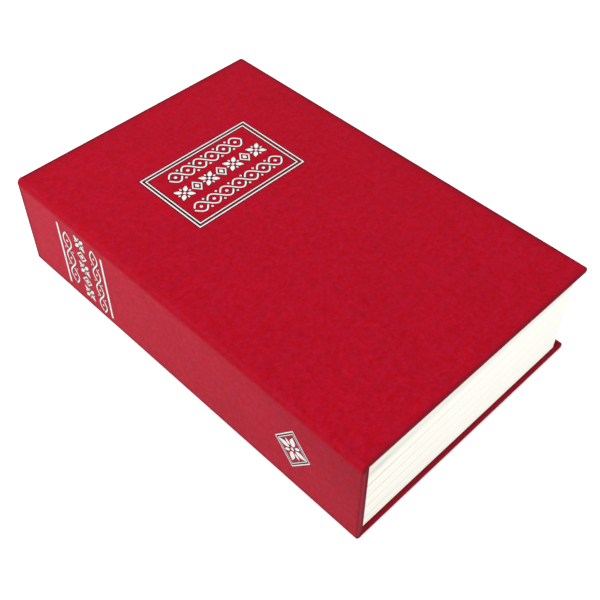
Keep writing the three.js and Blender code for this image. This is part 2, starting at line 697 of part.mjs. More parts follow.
// A wafer about its own middle, with the lug that its spring pushes on
function lockWafer() {

	const levels = [ - WAFER_THICKNESS / 2, WAFER_THICKNESS / 2 ];
	return block( [ - WAFER_HALF_LENGTH, WAFER_HALF_LENGTH ], [ - WAFER_HALF_WIDTH, WAFER_HALF_WIDTH ], levels )
		.add( block( [ 0, WAFER_LUG_LENGTH ], [ - LUG_REACH, 0 ], levels ) )
		.subtract( block(
			[ - WAFER_WINDOW_LENGTH / 2, WAFER_WINDOW_LENGTH / 2 ],
			[ - WAFER_WINDOW_WIDTH / 2, WAFER_WINDOW_WIDTH / 2 ],
			[ - WAFER_THICKNESS, WAFER_THICKNESS ]
		) );

}

// A wafer's spring about the end that touches the lug, as a plain rod
function waferSpring() {

	const radius = WAFER_THICKNESS / 2 - WAFER_CLEARANCE / 2;
	return rod( radius, [ - SPRING_LENGTH, 0, 0 ], [ 0, 0, 0 ], SPRING_SIDES );

}

// A ring of a given outer radius round the housing, below a level
function housingRing( radius, top, height, sides ) {

	return post( radius, top - height, top, 0, sides )
		.subtract( post( HOUSING_RADIUS + HOUSING_HOLE_GAP, top - height - PAST, top + PAST ) );

}

function lockWasher() {

	return housingRing( HOUSING_RADIUS + WASHER_STEP, WASHER_TOP, WASHER_HEIGHT, ROUND_SIDES );

}

function lockNut() {

	const corner = ( HOUSING_RADIUS + NUT_WALL ) / Math.cos( Math.PI / HEX_SIDES );
	return housingRing( corner, NUT_TOP, NUT_HEIGHT, HEX_SIDES );

}

// The cam points to the tail while the lock is open
function lockCam() {

	const half = CAM_WIDTH / 2;
	const square = [ - CAM_SQUARE / 2 - SQUARE_GAP, CAM_SQUARE / 2 + SQUARE_GAP ];
	const arm = new THREE.Shape();
	arm.moveTo( half, 0 );
	arm.lineTo( - half, 0 );
	arm.absarc( 0, - CAM_REACH + half, half, Math.PI, Math.PI * 2, false );
	return slab( arm, CAM_BASE, CAM_TOP )
		.add( post( CAM_SQUARE / Math.SQRT2 + CAM_WALL, CAM_BASE, CAM_TOP ) )
		.subtract( block( square, square, [ CAM_BASE - PAST, CAM_TOP + PAST ] ) );

}

function camScrew() {

	const seat = CAM_BASE - LAYER_GAP;
	const tip = SCREW_POCKET_END - SCREW_TIP_GAP;
	return post( CAM_SQUARE / Math.SQRT2 + CAM_SCREW_LIP, seat - CAM_SCREW_HEAD_HEIGHT, seat, 0, HEX_SIDES )
		.add( post( CAM_SCREW_RADIUS, seat - CAM_SCREW_HEAD_HEIGHT / 2, tip, 0, SMALL_SIDES ) );

}

// The assembly

function caseGroup() {

	const group = new THREE.Group();
	group.add(
		meshOf( 'back_board', coverBoard( backLevel ), boardGrey ),
		meshOf( 'back_covering', coverSheet( backLevel ), coveringRed ),
		meshOf( 'back_endpaper', endpaper( backLevel ), paperCream ),
		meshOf( 'spine_board', spineBoard(), boardGrey ),
		meshOf( 'spine_covering', spineCovering(), coveringRed ),
		meshOf( 'front_board', coverBoard( frontLevel ), boardGrey ),
		meshOf( 'front_covering', frontCovering(), coveringRed ),
		meshOf( 'front_endpaper', endpaper( frontLevel ), paperCream )
	);
	return group;

}

function boxGroup() {

	const group = new THREE.Group();
	group.add(
		meshOf( 'page_frame', pageFrame(), pageIvory ),
		meshOf( 'box_tray', boxTray(), boxPaint ),
		meshOf( 'strike_bracket', strikeBracket(), zincSteel )
	);
	screwPlaces().forEach( ( [ x, y ], i ) => {

		const screw = meshOf( `box_screw_${ i + 1 }`, boxScrew(), zincSteel );
		screw.position.set( x, y, BOX_FLOOR );
		group.add( screw );

	} );
	return group;

}

// The fixed leaf is the moving leaf's twin, turned down against the box's wall
function hingeGroup() {

	const fixed = new THREE.Group();
	fixed.rotation.y = Math.PI / 2;
	fixed.add( meshOf( 'hinge_fixed_leaf', hingeLeaf( 0 ), zincSteel ) );
	const moving = new THREE.Group();
	moving.add( meshOf( 'hinge_moving_leaf', hingeLeaf( 1 ), zincSteel ) );
	rivetPlaces().forEach( ( y, i ) => {

		const lidRivet = meshOf( `lid_rivet_${ i + 1 }`, hingeRivet(), zincSteel );
		lidRivet.position.set( RIVET_REACH, y, LEAF_OUTER );
		moving.add( lidRivet );
		const boxRivet = meshOf( `box_rivet_${ i + 1 }`, hingeRivet(), zincSteel );
		boxRivet.rotation.x = Math.PI;
		boxRivet.position.set( RIVET_REACH, y, LEAF_INNER );
		fixed.add( boxRivet );

	} );
	const group = new THREE.Group();
	group.position.set( HINGE_X, 0, HINGE_Z );
	group.add( fixed, moving, meshOf( 'hinge_pin', hingePin(), zincSteel ) );
	return group;

}

function lockGroup() {

	const group = new THREE.Group();
	group.position.set( LOCK_X, 0, LOCK_SEAT );
	group.add(
		meshOf( 'lock_housing', lockHousing(), lockChrome ),
		meshOf( 'lock_washer', lockWasher(), zincSteel ),
		meshOf( 'lock_nut', lockNut(), zincSteel ),
		meshOf( 'lock_plug', lockPlug(), lockChrome ),
		meshOf( 'lock_cam', lockCam(), zincSteel ),
		meshOf( 'cam_screw', camScrew(), zincSteel )
	);
	waferLevels().forEach( ( z, i ) => {

		const wafer = meshOf( `lock_wafer_${ i + 1 }`, lockWafer(), waferBrass );
		wafer.position.z = z;
		const spring = meshOf( `wafer_spring_${ i + 1 }`, waferSpring(), zincSteel );
		spring.position.set( - WAFER_CLEARANCE, - LUG_REACH + WAFER_LUG_WIDTH / 2, z );
		group.add( wafer, spring );

	} );
	return group;

}

const bookSafe = new THREE.Group();
bookSafe.add( caseGroup(), boxGroup(), hingeGroup(), lockGroup() );
bookSafe.add( meshOf( 'lid_panel', lidPanel(), boxPaint ) );

export default bookSafe;
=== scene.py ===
"""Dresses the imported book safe: papered covers, moulded page block, foil ornament, painted box, plated lock.

Sizes in the properties are metres. The shape functions work in millimetres on the part's own axes: +X from
the spine to the fore edge, +Y from the tail to the head and +Z up.
"""

import json
import math

import bpy
import numpy as np
from mathutils import Matrix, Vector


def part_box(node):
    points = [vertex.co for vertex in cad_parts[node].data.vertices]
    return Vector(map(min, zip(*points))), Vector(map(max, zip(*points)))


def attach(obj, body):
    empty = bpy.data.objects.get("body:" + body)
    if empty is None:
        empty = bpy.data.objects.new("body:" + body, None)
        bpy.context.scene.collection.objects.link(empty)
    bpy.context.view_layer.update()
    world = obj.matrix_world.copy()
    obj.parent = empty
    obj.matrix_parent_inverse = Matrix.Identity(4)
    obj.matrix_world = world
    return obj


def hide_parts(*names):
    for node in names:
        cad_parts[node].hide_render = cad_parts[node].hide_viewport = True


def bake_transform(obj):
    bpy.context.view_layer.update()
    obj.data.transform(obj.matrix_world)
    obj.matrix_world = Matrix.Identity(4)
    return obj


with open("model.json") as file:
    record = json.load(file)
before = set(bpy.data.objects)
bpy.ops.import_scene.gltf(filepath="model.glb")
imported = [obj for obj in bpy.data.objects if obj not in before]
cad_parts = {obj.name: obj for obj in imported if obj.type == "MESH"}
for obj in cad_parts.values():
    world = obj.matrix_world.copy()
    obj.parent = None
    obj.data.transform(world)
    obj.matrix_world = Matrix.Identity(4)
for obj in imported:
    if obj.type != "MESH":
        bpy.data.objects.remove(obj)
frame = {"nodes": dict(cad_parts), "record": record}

bl_info = {
    "name": "Book Safe Dressing",
    "version": (1, 0, 0),
    "blender": (4, 5, 0),
    "location": "3D View > Sidebar > Book Safe",
    "description": "Builds the covers, page block, ornament, box, lid and lock round the packed frame",
    "category": "Object",
}

MM = 0.001
SHARP = math.radians(38)


def node_limits(name):
    """Lowest and highest corner of a CAD node, in millimetres."""
    low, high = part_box(name)
    return np.array(low) / MM, np.array(high) / MM


PANEL = node_limits("back_covering")[1][2]
HALF_WIDTH, HALF_HEIGHT, THICKNESS = node_limits("front_covering")[1]
JOINT = node_limits("front_board")[0][0]
BEND = HALF_WIDTH + JOINT
SPINE_LOW, SPINE_HIGH = node_limits("spine_board")
PAGES_LOW, PAGES_HIGH = node_limits("page_frame")
BOX_LOW, BOX_HIGH = node_limits("box_tray")
LID_LOW, LID_HIGH = node_limits("lid_panel")
LEAF_FOOT = node_limits("hinge_moving_leaf")[0][2]
PLUG_LOW, PLUG_HIGH = node_limits("lock_plug")
LOCK_LOW, LOCK_HIGH = node_limits("lock_housing")
LOCK_X = (LOCK_LOW[0] + LOCK_HIGH[0]) / 2


# Sizes and colours


def length(title, text, default):
    """A length property, in metres."""
    return bpy.props.FloatProperty(name=title, description=text, default=default, unit="LENGTH")


def tint(title, text, default):
    """A colour property, in linear values."""
    return bpy.props.FloatVectorProperty(name=title, description=text, default=default, subtype="COLOR")


class BookSafeSizes(bpy.types.PropertyGroup):
    """Sizes of the dressing, in metres."""

    paper: length("Covering", "Thickness of the covering paper", 0.0003)
    turn_in: length("Turn-in", "How far the covering is turned in over the boards", 0.014)
    edge_radius: length("Board edge", "Rounding of the papered board edges", 0.0006)
    cover_corner: length("Cover corner", "Radius of the covers' outer corners", 0.0013)
    page_corner: length("Page corner", "Radius of the page block's fore corners", 0.003)
    leaf_depth: length("Leaf line depth", "Depth of the strongest leaf lines", 0.00045)
    foil: length("Foil", "Thickness of the foil that stands on the paper", 0.00003)
    sheet: length("Sheet steel", "Thickness of the box's sheet", 0.0008)


class BookSafeColours(bpy.types.PropertyGroup):
    """Base colours of the finishes."""

    crimson: tint("Crimson", "Covering paper on the boards", (0.474, 0.0018, 0.0185))
    # Painted shade: the colour taken by the marked board edges, the turned-in paper by the pages and the
    # spine's ends and foot, and, darkened further, by the foil's pressed rims.
    edge: tint("Rubbed edge", "Paper on the rubbed edges", (0.165, 0.008, 0.017))
    # Painted sheen: the spine's crimson is paler and pinker than the boards' to stand in for the sheen the
    # spine catches.
    painted_light: tint("Rubbed crimson", "Paper on the spine", (0.528, 0.0050, 0.0325))
    page: tint("Page ivory", "Moulded page block", (0.965, 0.955, 0.890))
    cream: tint("Endpaper cream", "Endpapers", (0.860, 0.800, 0.660))
    foil_white: tint("Foil white", "Foil rules and ornament", (0.980, 0.925, 0.915))
    board: tint("Board grey", "Binder's board", (0.330, 0.270, 0.210))
    paint: tint("Charcoal", "Powder coat on the box and lid", (0.024, 0.026, 0.030))


# Shapes: each is points, four-sided faces and flat end faces


def squares(rows, columns, rows_close):
    """Four-sided faces on a grid whose columns close round: each face joins a point and the next one in its
    row to the same two in the next row."""
    here = np.arange(rows * columns).reshape(rows, columns)
    below = np.roll(here, -1, axis=0)
    faces = np.stack([here, np.roll(here, -1, axis=1), np.roll(below, -1, axis=1), below], axis=-1)
    return (faces if rows_close else faces[:-1]).reshape(-1, 4)


def outward(points, quads, ends):
    """The shape with its faces outwards. The volume is the sum of the pyramids from the origin to each face,
    and where it is negative every face is turned over."""
    a, b, c, d = (points[quads[:, i]] for i in range(4))
    volume = np.sum(a * np.cross(b, c)) + np.sum(a * np.cross(c, d))
    for end in ends:
        fan = points[end]
        volume += fan[0] @ np.cross(fan[1:-1], fan[2:]).sum(axis=0)
    if volume < 0:
        quads = quads[:, ::-1]
        ends = [end[::-1] for end in ends]
    return points, quads, ends


def lofted(rings, rows_close=False):
    """A skin over a stack of rings. An open stack has a flat end on its first and last ring, and a closed one
    joins its last ring to its first."""
    rows, columns = rings.shape[:2]
    ends = [] if rows_close else [np.arange(columns)[::-1], (rows - 1) * columns + np.arange(columns)]
    return outward(rings.reshape(-1, 3), squares(rows, columns, rows_close), ends)


def merged(shapes):
    """Several shapes as one, with each shape's point numbers moved on by the points before it."""
    starts = np.cumsum([0] + [len(points) for points, _, _ in shapes])
    points = np.concatenate([shape[0] for shape in shapes])
    quads = np.concatenate([shape[1] + start for shape, start in zip(shapes, starts)])
    ends = [end + start for shape, start in zip(shapes, starts) for end in shape[2]]
    return points, quads, ends


def even(count):
    """Fractions that divide a side evenly, without its two ends."""
    return np.arange(1, count + 1) / (count + 1)


def rays(turn):
    """The cosine and sine of each angle, as X and Y."""
    return np.stack([np.cos(turn), np.sin(turn)], axis=-1)


def rounded_ring(left, right, half, radii, sides, arcs=(6, 1)):
    """Points round a rectangle with round corners, from the tail end of the right side, as X and Y. Each
    corner is its centre plus radius times cosine and sine, and each side runs straight between two corners at
    the fractions given for it. Radii and arcs are the right corners' and the left corners'."""
    fore, back = radii
    fore_arc, back_arc = (np.radians(np.linspace(0, 90, count + 1)) for count in arcs)
    corners = [
        ((right - fore, fore - half), fore, fore_arc - math.pi / 2),
        ((right - fore, half - fore), fore, fore_arc),
        ((left + back, half - back), back, back_arc + math.pi / 2),
        ((left + back, back - half), back, back_arc + math.pi),
    ]
    bends = [centre + radius * rays(turn) for centre, radius, turn in corners]
    parts = []
    for bend, after, side in zip(bends, bends[1:] + bends[:1], sides):
        parts += [bend, bend[-1] + (after[0] - bend[-1]) * np.asarray(side)[:, None]]
    return np.concatenate(parts)


def at_level(ring, z):
    """A ring of X and Y with a level or a level for each point."""
    return np.column_stack([ring, np.broadcast_to(z, len(ring))])


def quarter(steps):
    """Sine and one minus cosine through a quarter turn, without its start: the two reaches of a rounded
    edge."""
    turn = np.radians(np.linspace(0, 90, steps + 1)[1:])
    return list(zip(np.sin(turn), 1 - np.cos(turn)))


def new_object(name, data):
    """A new object of the scene that holds the given data."""
    made = bpy.data.objects.new(name, data)
    bpy.context.scene.collection.objects.link(made)
    return made


def add_piece(name, slot, shape, marks=None, finish=None):
    """Puts a shape into a new mesh object at the origin, smooth apart from its sharp edges. Marks are numbers
    from 0 to 1, one for each point, that the finish reads. The finish is the slot's own unless another is
    named."""
    points, quads, ends = shape
    mesh = bpy.data.meshes.new(name)
    mesh.from_pydata(points * MM, [], quads.tolist() + [end.tolist() for end in ends])
    mesh.validate()
    mesh.shade_smooth()
    mesh.set_sharp_from_angle(angle=SHARP)
    mesh.materials.append(finish_of(finish or slot))
    if marks is not None:
        mesh.attributes.new("mark", "FLOAT", "POINT").data.foreach_set("value", marks.astype(np.float32))
    piece = new_object(name, mesh)
    return piece


# Finishes


class Nodes:
    """The shader nodes of a new material or world."""

    def __init__(self, holder):
        holder.use_nodes = True
        self.tree = holder.node_tree

    def add(self, kind, values, **settings):
        """A node with its settings and its inputs."""
        node = self.tree.nodes.new("ShaderNode" + kind)
        for name, value in settings.items():
            setattr(node, name, value)
        self.feed(node, values)
        return node

    def feed(self, node, values):
        """Sets each input, by its name or number, to a number, a colour or a vector, or links it to an
        output."""
        for key, value in values.items():
            socket = node.inputs[key]
            if isinstance(value, bpy.types.NodeSocket):
                self.tree.links.new(value, socket)
            elif hasattr(value, "__len__"):
                socket.default_value = (*value, 1)[:len(socket.default_value)]
            else:
                socket.default_value = value


class Finish(Nodes):
    """A material in the making. Each function up to done adds the nodes for one value and gives their
    output."""

    def __init__(self, name):
        self.material = bpy.data.materials.new(name)
        super().__init__(self.material)
        self.place = self.add("TexCoord", {}).outputs["Object"]

    def noise(self, size, detail=3.0, roughness=0.55, scale=None):
        """Cloudy noise with lumps of about the given size in millimetres, drawn out by a scale for each
        axis."""
        place = self.place
        if scale is not None:
            place = self.add("Mapping", {"Vector": place, "Scale": scale}).outputs["Vector"]
        values = {"Vector": place, "Scale": 1 / (size * MM), "Detail": detail, "Roughness": roughness}
        return self.add("TexNoise", values).outputs["Fac"]

    def along(self, axis):
        """The place along an axis, in metres."""
        return self.add("SeparateXYZ", {0: self.place}).outputs[axis]

    def marked(self):
        """The mark that a mesh carries at each point, which is 0 where it carries none."""
        return self.add("Attribute", {}, attribute_name="mark").outputs["Fac"]

    def ramp(self, fac, low, high, start=0.3, end=0.7):
        """A number or a colour that goes from low to high as fac goes from start to end."""
        if not hasattr(low, "__len__"):
            values = {"Value": fac, "From Min": start, "From Max": end, "To Min": low, "To Max": high}
            return self.add("MapRange", values).outputs["Result"]
        node = self.add("ValToRGB", {"Fac": fac})
        for stop, position, value in zip(node.color_ramp.elements, (start, end), (low, high)):
            stop.position = position
            stop.color = (*value, 1)
        return node.outputs["Color"]

    def blended(self, fac, one, two, mode="MIX"):
        """Two colours mixed by fac."""
        return self.add("Mix", {0: fac, 6: one, 7: two}, data_type="RGBA", blend_type=mode).outputs[2]

    def raised(self, height, depth, strength=1.0, under=None):
        """A bump of the given depth in millimetres, on top of another bump where one is given."""
        values = {"Distance": depth * MM, "Strength": strength, "Height": height}
        if under is not None:
            values["Normal"] = under
        return self.add("Bump", values).outputs["Normal"]

    def done(self, colour, roughness, normal, gloss=0.5, dulled=None, metal=0.0):
        """The finished material. Its gloss is one number, or the dulled output where one is given."""
        values = {"Base Color": colour, "Roughness": roughness, "Normal": normal, "Metallic": metal}
        shader = self.tree.nodes["Principled BSDF"]
        self.feed(shader, {**values, "Specular IOR Level": gloss})
        if dulled is not None:
            self.feed(shader, {"Specular IOR Level": dulled})
        return self.material


def scaled(colour, *shares):
    """A colour with each channel at a share of itself."""
    return tuple(channel * share for channel, share in zip(colour, shares))


def shaded(colour, amount):
    """A colour made lighter or darker by a share of itself."""
    return tuple(min(1.0, channel * (1 + amount)) for channel in colour)


def paper_finish(name, tones, mottle, fibre, roughness, gloss, edge=None, foot=0.0):
    """Paper: two tones that drift into each other, mottling at three sizes, a fine fibre grain in colour and
    height, and a low gloss. The marked places take the edge's colour as painted shade and are duller. The foot
    is painted shade too, by the given share of the edge's colour, which is gone 6 mm above the table."""
    kit = Finish(name)
    colour = kit.ramp(kit.noise(2.2, 3, 0.6), *tones)
    for size, share in ((26, 0.3), (4.5, 0.7), (1.3, 1.0)):
        level = kit.ramp(kit.noise(size, 3, 0.6), 1 - mottle * share, 1 + mottle * share)
        colour = kit.blended(1.0, colour, level, "MULTIPLY")
    grain = kit.noise(0.5, 3, 0.6)
    colour = kit.blended(1.0, colour, kit.ramp(grain, 1 - fibre, 1 + fibre), "MULTIPLY")
    # Painted shade at the foot, gone 6 mm above the table.
    if foot > 0:
        colour = kit.blended(kit.ramp(kit.along("Z"), foot, 0.0, 0.003, 0.006), colour, edge)
    dulled = None
    # Painted shade: the marked places take the edge's colour, and the gloss drops with them.
    if edge is not None:
        painted_light = kit.marked()
        colour = kit.blended(painted_light, colour, edge)
        dulled = kit.ramp(painted_light, gloss, gloss * 0.4, 0, 1)
    rough = kit.ramp(grain, roughness - 0.06, roughness + 0.06)
    pits = kit.raised(kit.noise(1.4, 2), 0.05, 0.6)
    return kit.done(colour, rough, kit.raised(grain, 0.03, 0.8, pits), gloss, dulled)


def page_finish(name, colour):
    """Moulded ivory plastic: streaks one leaf thick that run level round the block, in tone and height,
    warmer towards the spine, with painted shade under the front cover and in the marked leaf lines."""
    kit = Finish(name)
    warm, shade = scaled(colour, 0.985, 0.975, 0.93), scaled(colour, 0.46, 0.47, 0.44)
    streaks = kit.noise(0.42, 4, 0.7, (0.012, 0.012, 1.0))
    leaves = kit.ramp(streaks, shaded(colour, -0.05), colour, 0.28, 0.6)
    clouds = kit.ramp(kit.noise(18, 2), 0.6, 1.0)
    tone = kit.blended(0.5, leaves, kit.blended(clouds, warm, colour))
    near_spine = kit.ramp(kit.along("X"), 0.0, 1.0, -0.078, -0.015)
    tone = kit.blended(near_spine, kit.blended(0.6, tone, warm), tone)
    # Painted shade under the front cover's edge.
    tone = kit.blended(kit.ramp(kit.along("Z"), 0.0, 0.24, 0.0455, 0.05), tone, shade)
    tone = kit.blended(kit.ramp(kit.marked(), 0.0, 0.85, 0.0, 1.0), tone, shade)
    return kit.done(tone, kit.ramp(streaks, 0.5, 0.64), kit.raised(streaks, 0.07, 0.7), 0.25)


def foil_finish(name, colour, pressed):
    """White stamping foil, thin where the paper's grain shows through it, and the marked rim of pressed
    paper, painted dark as shade."""
    kit = Finish(name)
    grain = kit.noise(0.45, 3, 0.6)
    foil = kit.ramp(grain, scaled(colour, 1, 0.88, 0.88), colour, 0.3, 0.46)
    rim = kit.ramp(kit.marked(), 0.0, 1.0, 0.0, 0.25)
    dulled = kit.ramp(rim, 0.5, 0.05, 0.0, 1.0)
    rough = kit.ramp(grain, 0.35, 0.5)
    return kit.done(kit.blended(rim, foil, pressed), rough, kit.raised(grain, 0.02, 0.6), dulled=dulled)


def board_finish(name, colour):
    """Grey-brown board: flecks of fibre in long thin lumps."""
    kit = Finish(name)
    fibres = kit.noise(0.7, 4, 0.7, (1.0, 0.35, 3.0))
    flecks = kit.ramp(fibres, shaded(colour, -0.25), shaded(colour, 0.25))
    return kit.done(flecks, kit.ramp(fibres, 0.85, 0.97), kit.raised(fibres, 0.08, 0.8))


def paint_finish(name, colour):
    """Powder coat: a dimpled skin with small pale specks."""
    kit = Finish(name)
    dimples = kit.noise(0.55, 2, 0.5)
    specks = kit.ramp(kit.noise(0.22, 2, 0.5), 0.0, 0.6, 0.6, 0.74)
    body = kit.ramp(kit.noise(30, 2), shaded(colour, -0.12), shaded(colour, 0.12))
    skin = kit.blended(specks, body, scaled(colour, 2.2, 2.2, 2.2))
    return kit.done(skin, kit.ramp(dimples, 0.42, 0.56), kit.raised(dimples, 0.05, 0.9))


def metal_finish(name, one, two, roughness, grain, depth, spread=12.0):
    """Metal: two tints that drift into each other, and fine lines drawn out by the grain's scales."""
    kit = Finish(name)
    lines = kit.noise(0.25, 3, 0.6, grain)
    rough = kit.ramp(lines, roughness * 0.8, roughness * 1.2)
    return kit.done(kit.ramp(kit.noise(spread), one, two), rough, kit.raised(lines, depth, 0.5), metal=1.0)


def make_finishes(colours):
    """Every finish, by the record's slot names, and the spine's and the foil's beside them."""
    cream, edge = colours.cream, colours.edge
    # The spine's crimsons come from the paler, pinker colour that paints the spine's sheen.
    crimsons, spine_crimsons = (
        ((red * 1.02, 0.0, blue * 0.35), (red * 0.98, green * 2.9, blue * 1.65))
        for red, green, blue in (colours.crimson, colours.painted_light)
    )
    return {
        "covering": paper_finish("crimson_paper", crimsons, 0.11, 0.12, 0.62, 0.06, edge),
        # The spine's paper: painted sheen in its colour, and painted shade at its foot, at half the edge's
        # colour.
        "spine": paper_finish("crimson_paper_painted_sheen", spine_crimsons, 0.11, 0.12, 0.6, 0.09, edge, 0.5),
        "endpaper": paper_finish("cream_paper", (shaded(cream, -0.03), cream), 0.02, 0.05, 0.85, 0.15),
        "page_plastic": page_finish("page_ivory", colours.page),
        "board": board_finish("grey_board", colours.board),
        "box_paint": paint_finish("charcoal_powder_coat", colours.paint),
        "zinc_steel": metal_finish(
            "bright_zinc", (0.58, 0.60, 0.64), (0.66, 0.65, 0.61), 0.34, (1.0, 0.06, 1.0), 0.01
        ),
        "lock_chrome": metal_finish(
            "polished_chrome", (0.76, 0.77, 0.79), (0.81, 0.82, 0.84), 0.1, (1.0, 1.0, 0.2), 0.002, 6.0
        ),
        "wafer_brass": metal_finish(
            "stamped_brass", (0.62, 0.42, 0.15), (0.70, 0.50, 0.22), 0.3, (1.0, 0.2, 1.0), 0.006, 2.0
        ),
        # The pressed rims' colour, darker still than the edge's: painted shade.
        "foil": foil_finish("white_foil", colours.foil_white, shaded(edge, -0.75)),
    }


def finish_of(slot):
    """The finish made for a slot, from the names that make_finishes gives."""
    return bpy.data.materials[bpy.context.scene["book_safe_finishes"][slot]]


# The case


def wrap_rows(sizes, rim, inner):
    """Rows of a papered board from its outer face inwards, as inset from the outer edge, depth, reach past
    the joint and mark: outer face, rounded edge, turned-in paper, its cut edge, and the pocket that holds the
    board. The mark is painted shade: it grows over the outer face's last millimetres, is full on the edge,
    falls to one share at the inner face's rim and goes to another further in."""
    slack, lap = 0.03, 0.95
    paper, turn_in, radius = sizes["paper"], sizes["turn_in"], sizes["edge_radius"]
    wall = paper - slack
    rows = [(turn_in, 0.0, 0.0, 0.0), (4.5, 0.0, 0.0, 0.02), (2.4, 0.0, 0.0, 0.09), (1.3, 0.0, 0.0, 0.25)]
    rows += [(radius, 0.0, 0.0, 0.7)]
    for far, near in quarter(6):
        mark = 0.7 + 0.3 * near
        rows.append((radius * (1 - far), radius * near, wall if radius * near > paper else 0.0, mark))
    rows.append((0.0, PANEL - radius, wall, 1.0))
    rows += [
        (radius * near, PANEL - radius * (1 - far), wall, 1 + near * (rim - 1)) for far, near in quarter(6)
    ]
    rows += [
        (1.1, PANEL, 0.0, rim),
        (1.9, PANEL, -lap / 2, inner),
        (turn_in, PANEL, -lap, inner),
        (turn_in, PANEL - paper, -lap, 0.0),
        (paper + slack, PANEL - paper - slack / 2, 0.0, 0.0),
        (paper + slack, paper + slack, 0.0, 0.0),
        (turn_in, paper + slack, 0.0, 0.0),
    ]
    return rows


def cover_panel(sizes, outer_level, inward, rim, inner):
    """A papered cover, open in the middle of its inner face, as rings of one rounded rectangle with the row's
    inset and depth. The joint's side runs straight."""
    sides = (even(12), even(8), even(12), even(8))
    corner = sizes["cover_corner"]
    rings, marks = [], []
    for inset, depth, reach, mark in wrap_rows(sizes, rim, inner):
        radius = corner if inset >= sizes["turn_in"] else max(corner - inset, 0.3)
        ring = rounded_ring(JOINT - reach, HALF_WIDTH - inset, HALF_HEIGHT - inset, (radius, 0.05), sides)
        rings.append(at_level(ring, outer_level + inward * depth))
        # The marks are painted shade, stronger on the outer face near the edges.
        marks.append(painted_edge_shade(mark, ring[:, 1], 2.4) if depth == 0 else np.full(len(ring), mark))
    return lofted(np.array(rings)), np.concatenate(marks)


def spine_panel(sizes):
    """The papered spine, worked out flat as the covers are and then stood up: its width runs up Z and its
    depth goes in from the spine's outer face. Painted shade darkens it towards the tail, and along its edges."""
    sides = (even(12), even(4), even(12), even(4))
    low, high = SPINE_LOW[2], SPINE_HIGH[2]
    rings, marks = [], []
    for inset, depth, reach, mark in wrap_rows(sizes, 0.0, 0.0):
        past = min(reach, 0.2)
        ring = rounded_ring(low - past, high + past, HALF_HEIGHT - inset, (0.05, 0.05), sides, (1, 1))
        rings.append(np.column_stack([np.full(len(ring), depth - HALF_WIDTH), ring[:, 1], ring[:, 0]]))
        painted_light = 0.75 * (painted_edge_shade(mark, ring[:, 1], 4.0) if depth == 0 else mark)
        marks.append(np.maximum(painted_light, painted_tail_shade(ring[:, 1], ring[:, 0])))
    return lofted(np.array(rings)), np.concatenate(marks)


def painted_edge_shade(mark, y, most):
    """The painted shade mark of an outer face near its edges: the most times as strong everywhere but at the
    tail, where it is 0.8 times."""
    return np.minimum(mark * np.where(y < 6 - HALF_HEIGHT, 0.8, most), 1.0)


def painted_tail_shade(y, z):
    """Painted shade on the spine, which grows with the cube of the way from the head to the tail and is a
    third as strong at the foot as at the top."""
    return 0.42 * (0.5 - y / (2 * HALF_HEIGHT)) ** 3 * (0.35 + 0.65 * z / THICKNESS)


def spine_turn_ins():
    """The gathered paper inside the spine's head and tail, which fills the corner beside the page block: a
    small rounded bar at each end, from the back cover up to the front one. Its mark paints the corner's shade."""
    left, right, low, high, ease = PANEL - 0.2 - HALF_WIDTH, 4.1 - HALF_WIDTH, PANEL + 0.05, 55.5, 0.35
    bars = []
    for end in (1, -1):
        rings = []
        for inset, z in ((ease, low), (0, low + ease), (0, high - ease), (ease, high)):
            bar = rounded_ring(left, right - inset, 0.74 - inset * 0.5, (0.3, 0.05), ([], [], [], []), (3, 1))
            rings.append(at_level(bar + [0, end * (HALF_HEIGHT - 0.88)], z))
        bars.append(lofted(np.array(rings)))
    shape = merged(bars)
    # Nearly the full mark: painted shade in the corner beside the page block.
    return shape, np.full(len(shape[0]), 0.95)


def fold_strip(sizes, level, side, run, foot):
    """The covering between a cover and the spine: a quarter circle about the joint and a straight run,
    carrying a section that is one paper thick in the middle, two where it is turned in, and gathered deep at
    the very ends, which carry the mark of painted shade. So does the spine's side of the curve, as painted
    shade from the foot's share up, by its height off the centre."""
    turn = np.radians(np.linspace(90, 180, 21))
    centre = level - side * BEND
    inward = -rays(turn) * (1, side)
    path = (JOINT, centre) - BEND * inward
    if run > 0:
        path = np.concatenate([path, path[-1:] - [[0.0, side * run]]])
        inward = np.concatenate([inward, inward[-1:]])
    paper, half, soft = sizes["paper"], HALF_HEIGHT, 0.25
    lip = half - sizes["turn_in"]
    double, gather, deep = 2 * paper + 0.05, half - 1.6, 2.75
    end = np.array([
        (half - 1.3, 0, 0), (half - 0.6, 0, 0.4), (half - 0.15, 0.05, 0.6), (half, soft, 1), (half, deep, 1),
        (gather, deep, 0.6), (gather, double, 0.3), (lip, double, 0), (lip, paper, 0),
    ])
    section = np.roll(np.concatenate([end, end[::-1] * [-1, 1, 1]]), 1, axis=0)
    depth = section[None, :, 1]
    rings = np.stack([
        path[:, None, 0] + inward[:, None, 0] * depth,
        np.broadcast_to(section[None, :, 0], (len(path), len(section))),
        path[:, None, 1] + inward[:, None, 1] * depth,
    ], axis=-1)
    # Painted shade on the spine's side of the curve, growing towards the table.
    painted_light = np.minimum(foot * (1 + 3 * np.abs(path[:, 1] - centre) / BEND), 1.0) * (inward[:, 0] > 0.5)
    return lofted(rings), np.maximum(section[None, :, 2], painted_light[:, None]).ravel()


# The page block


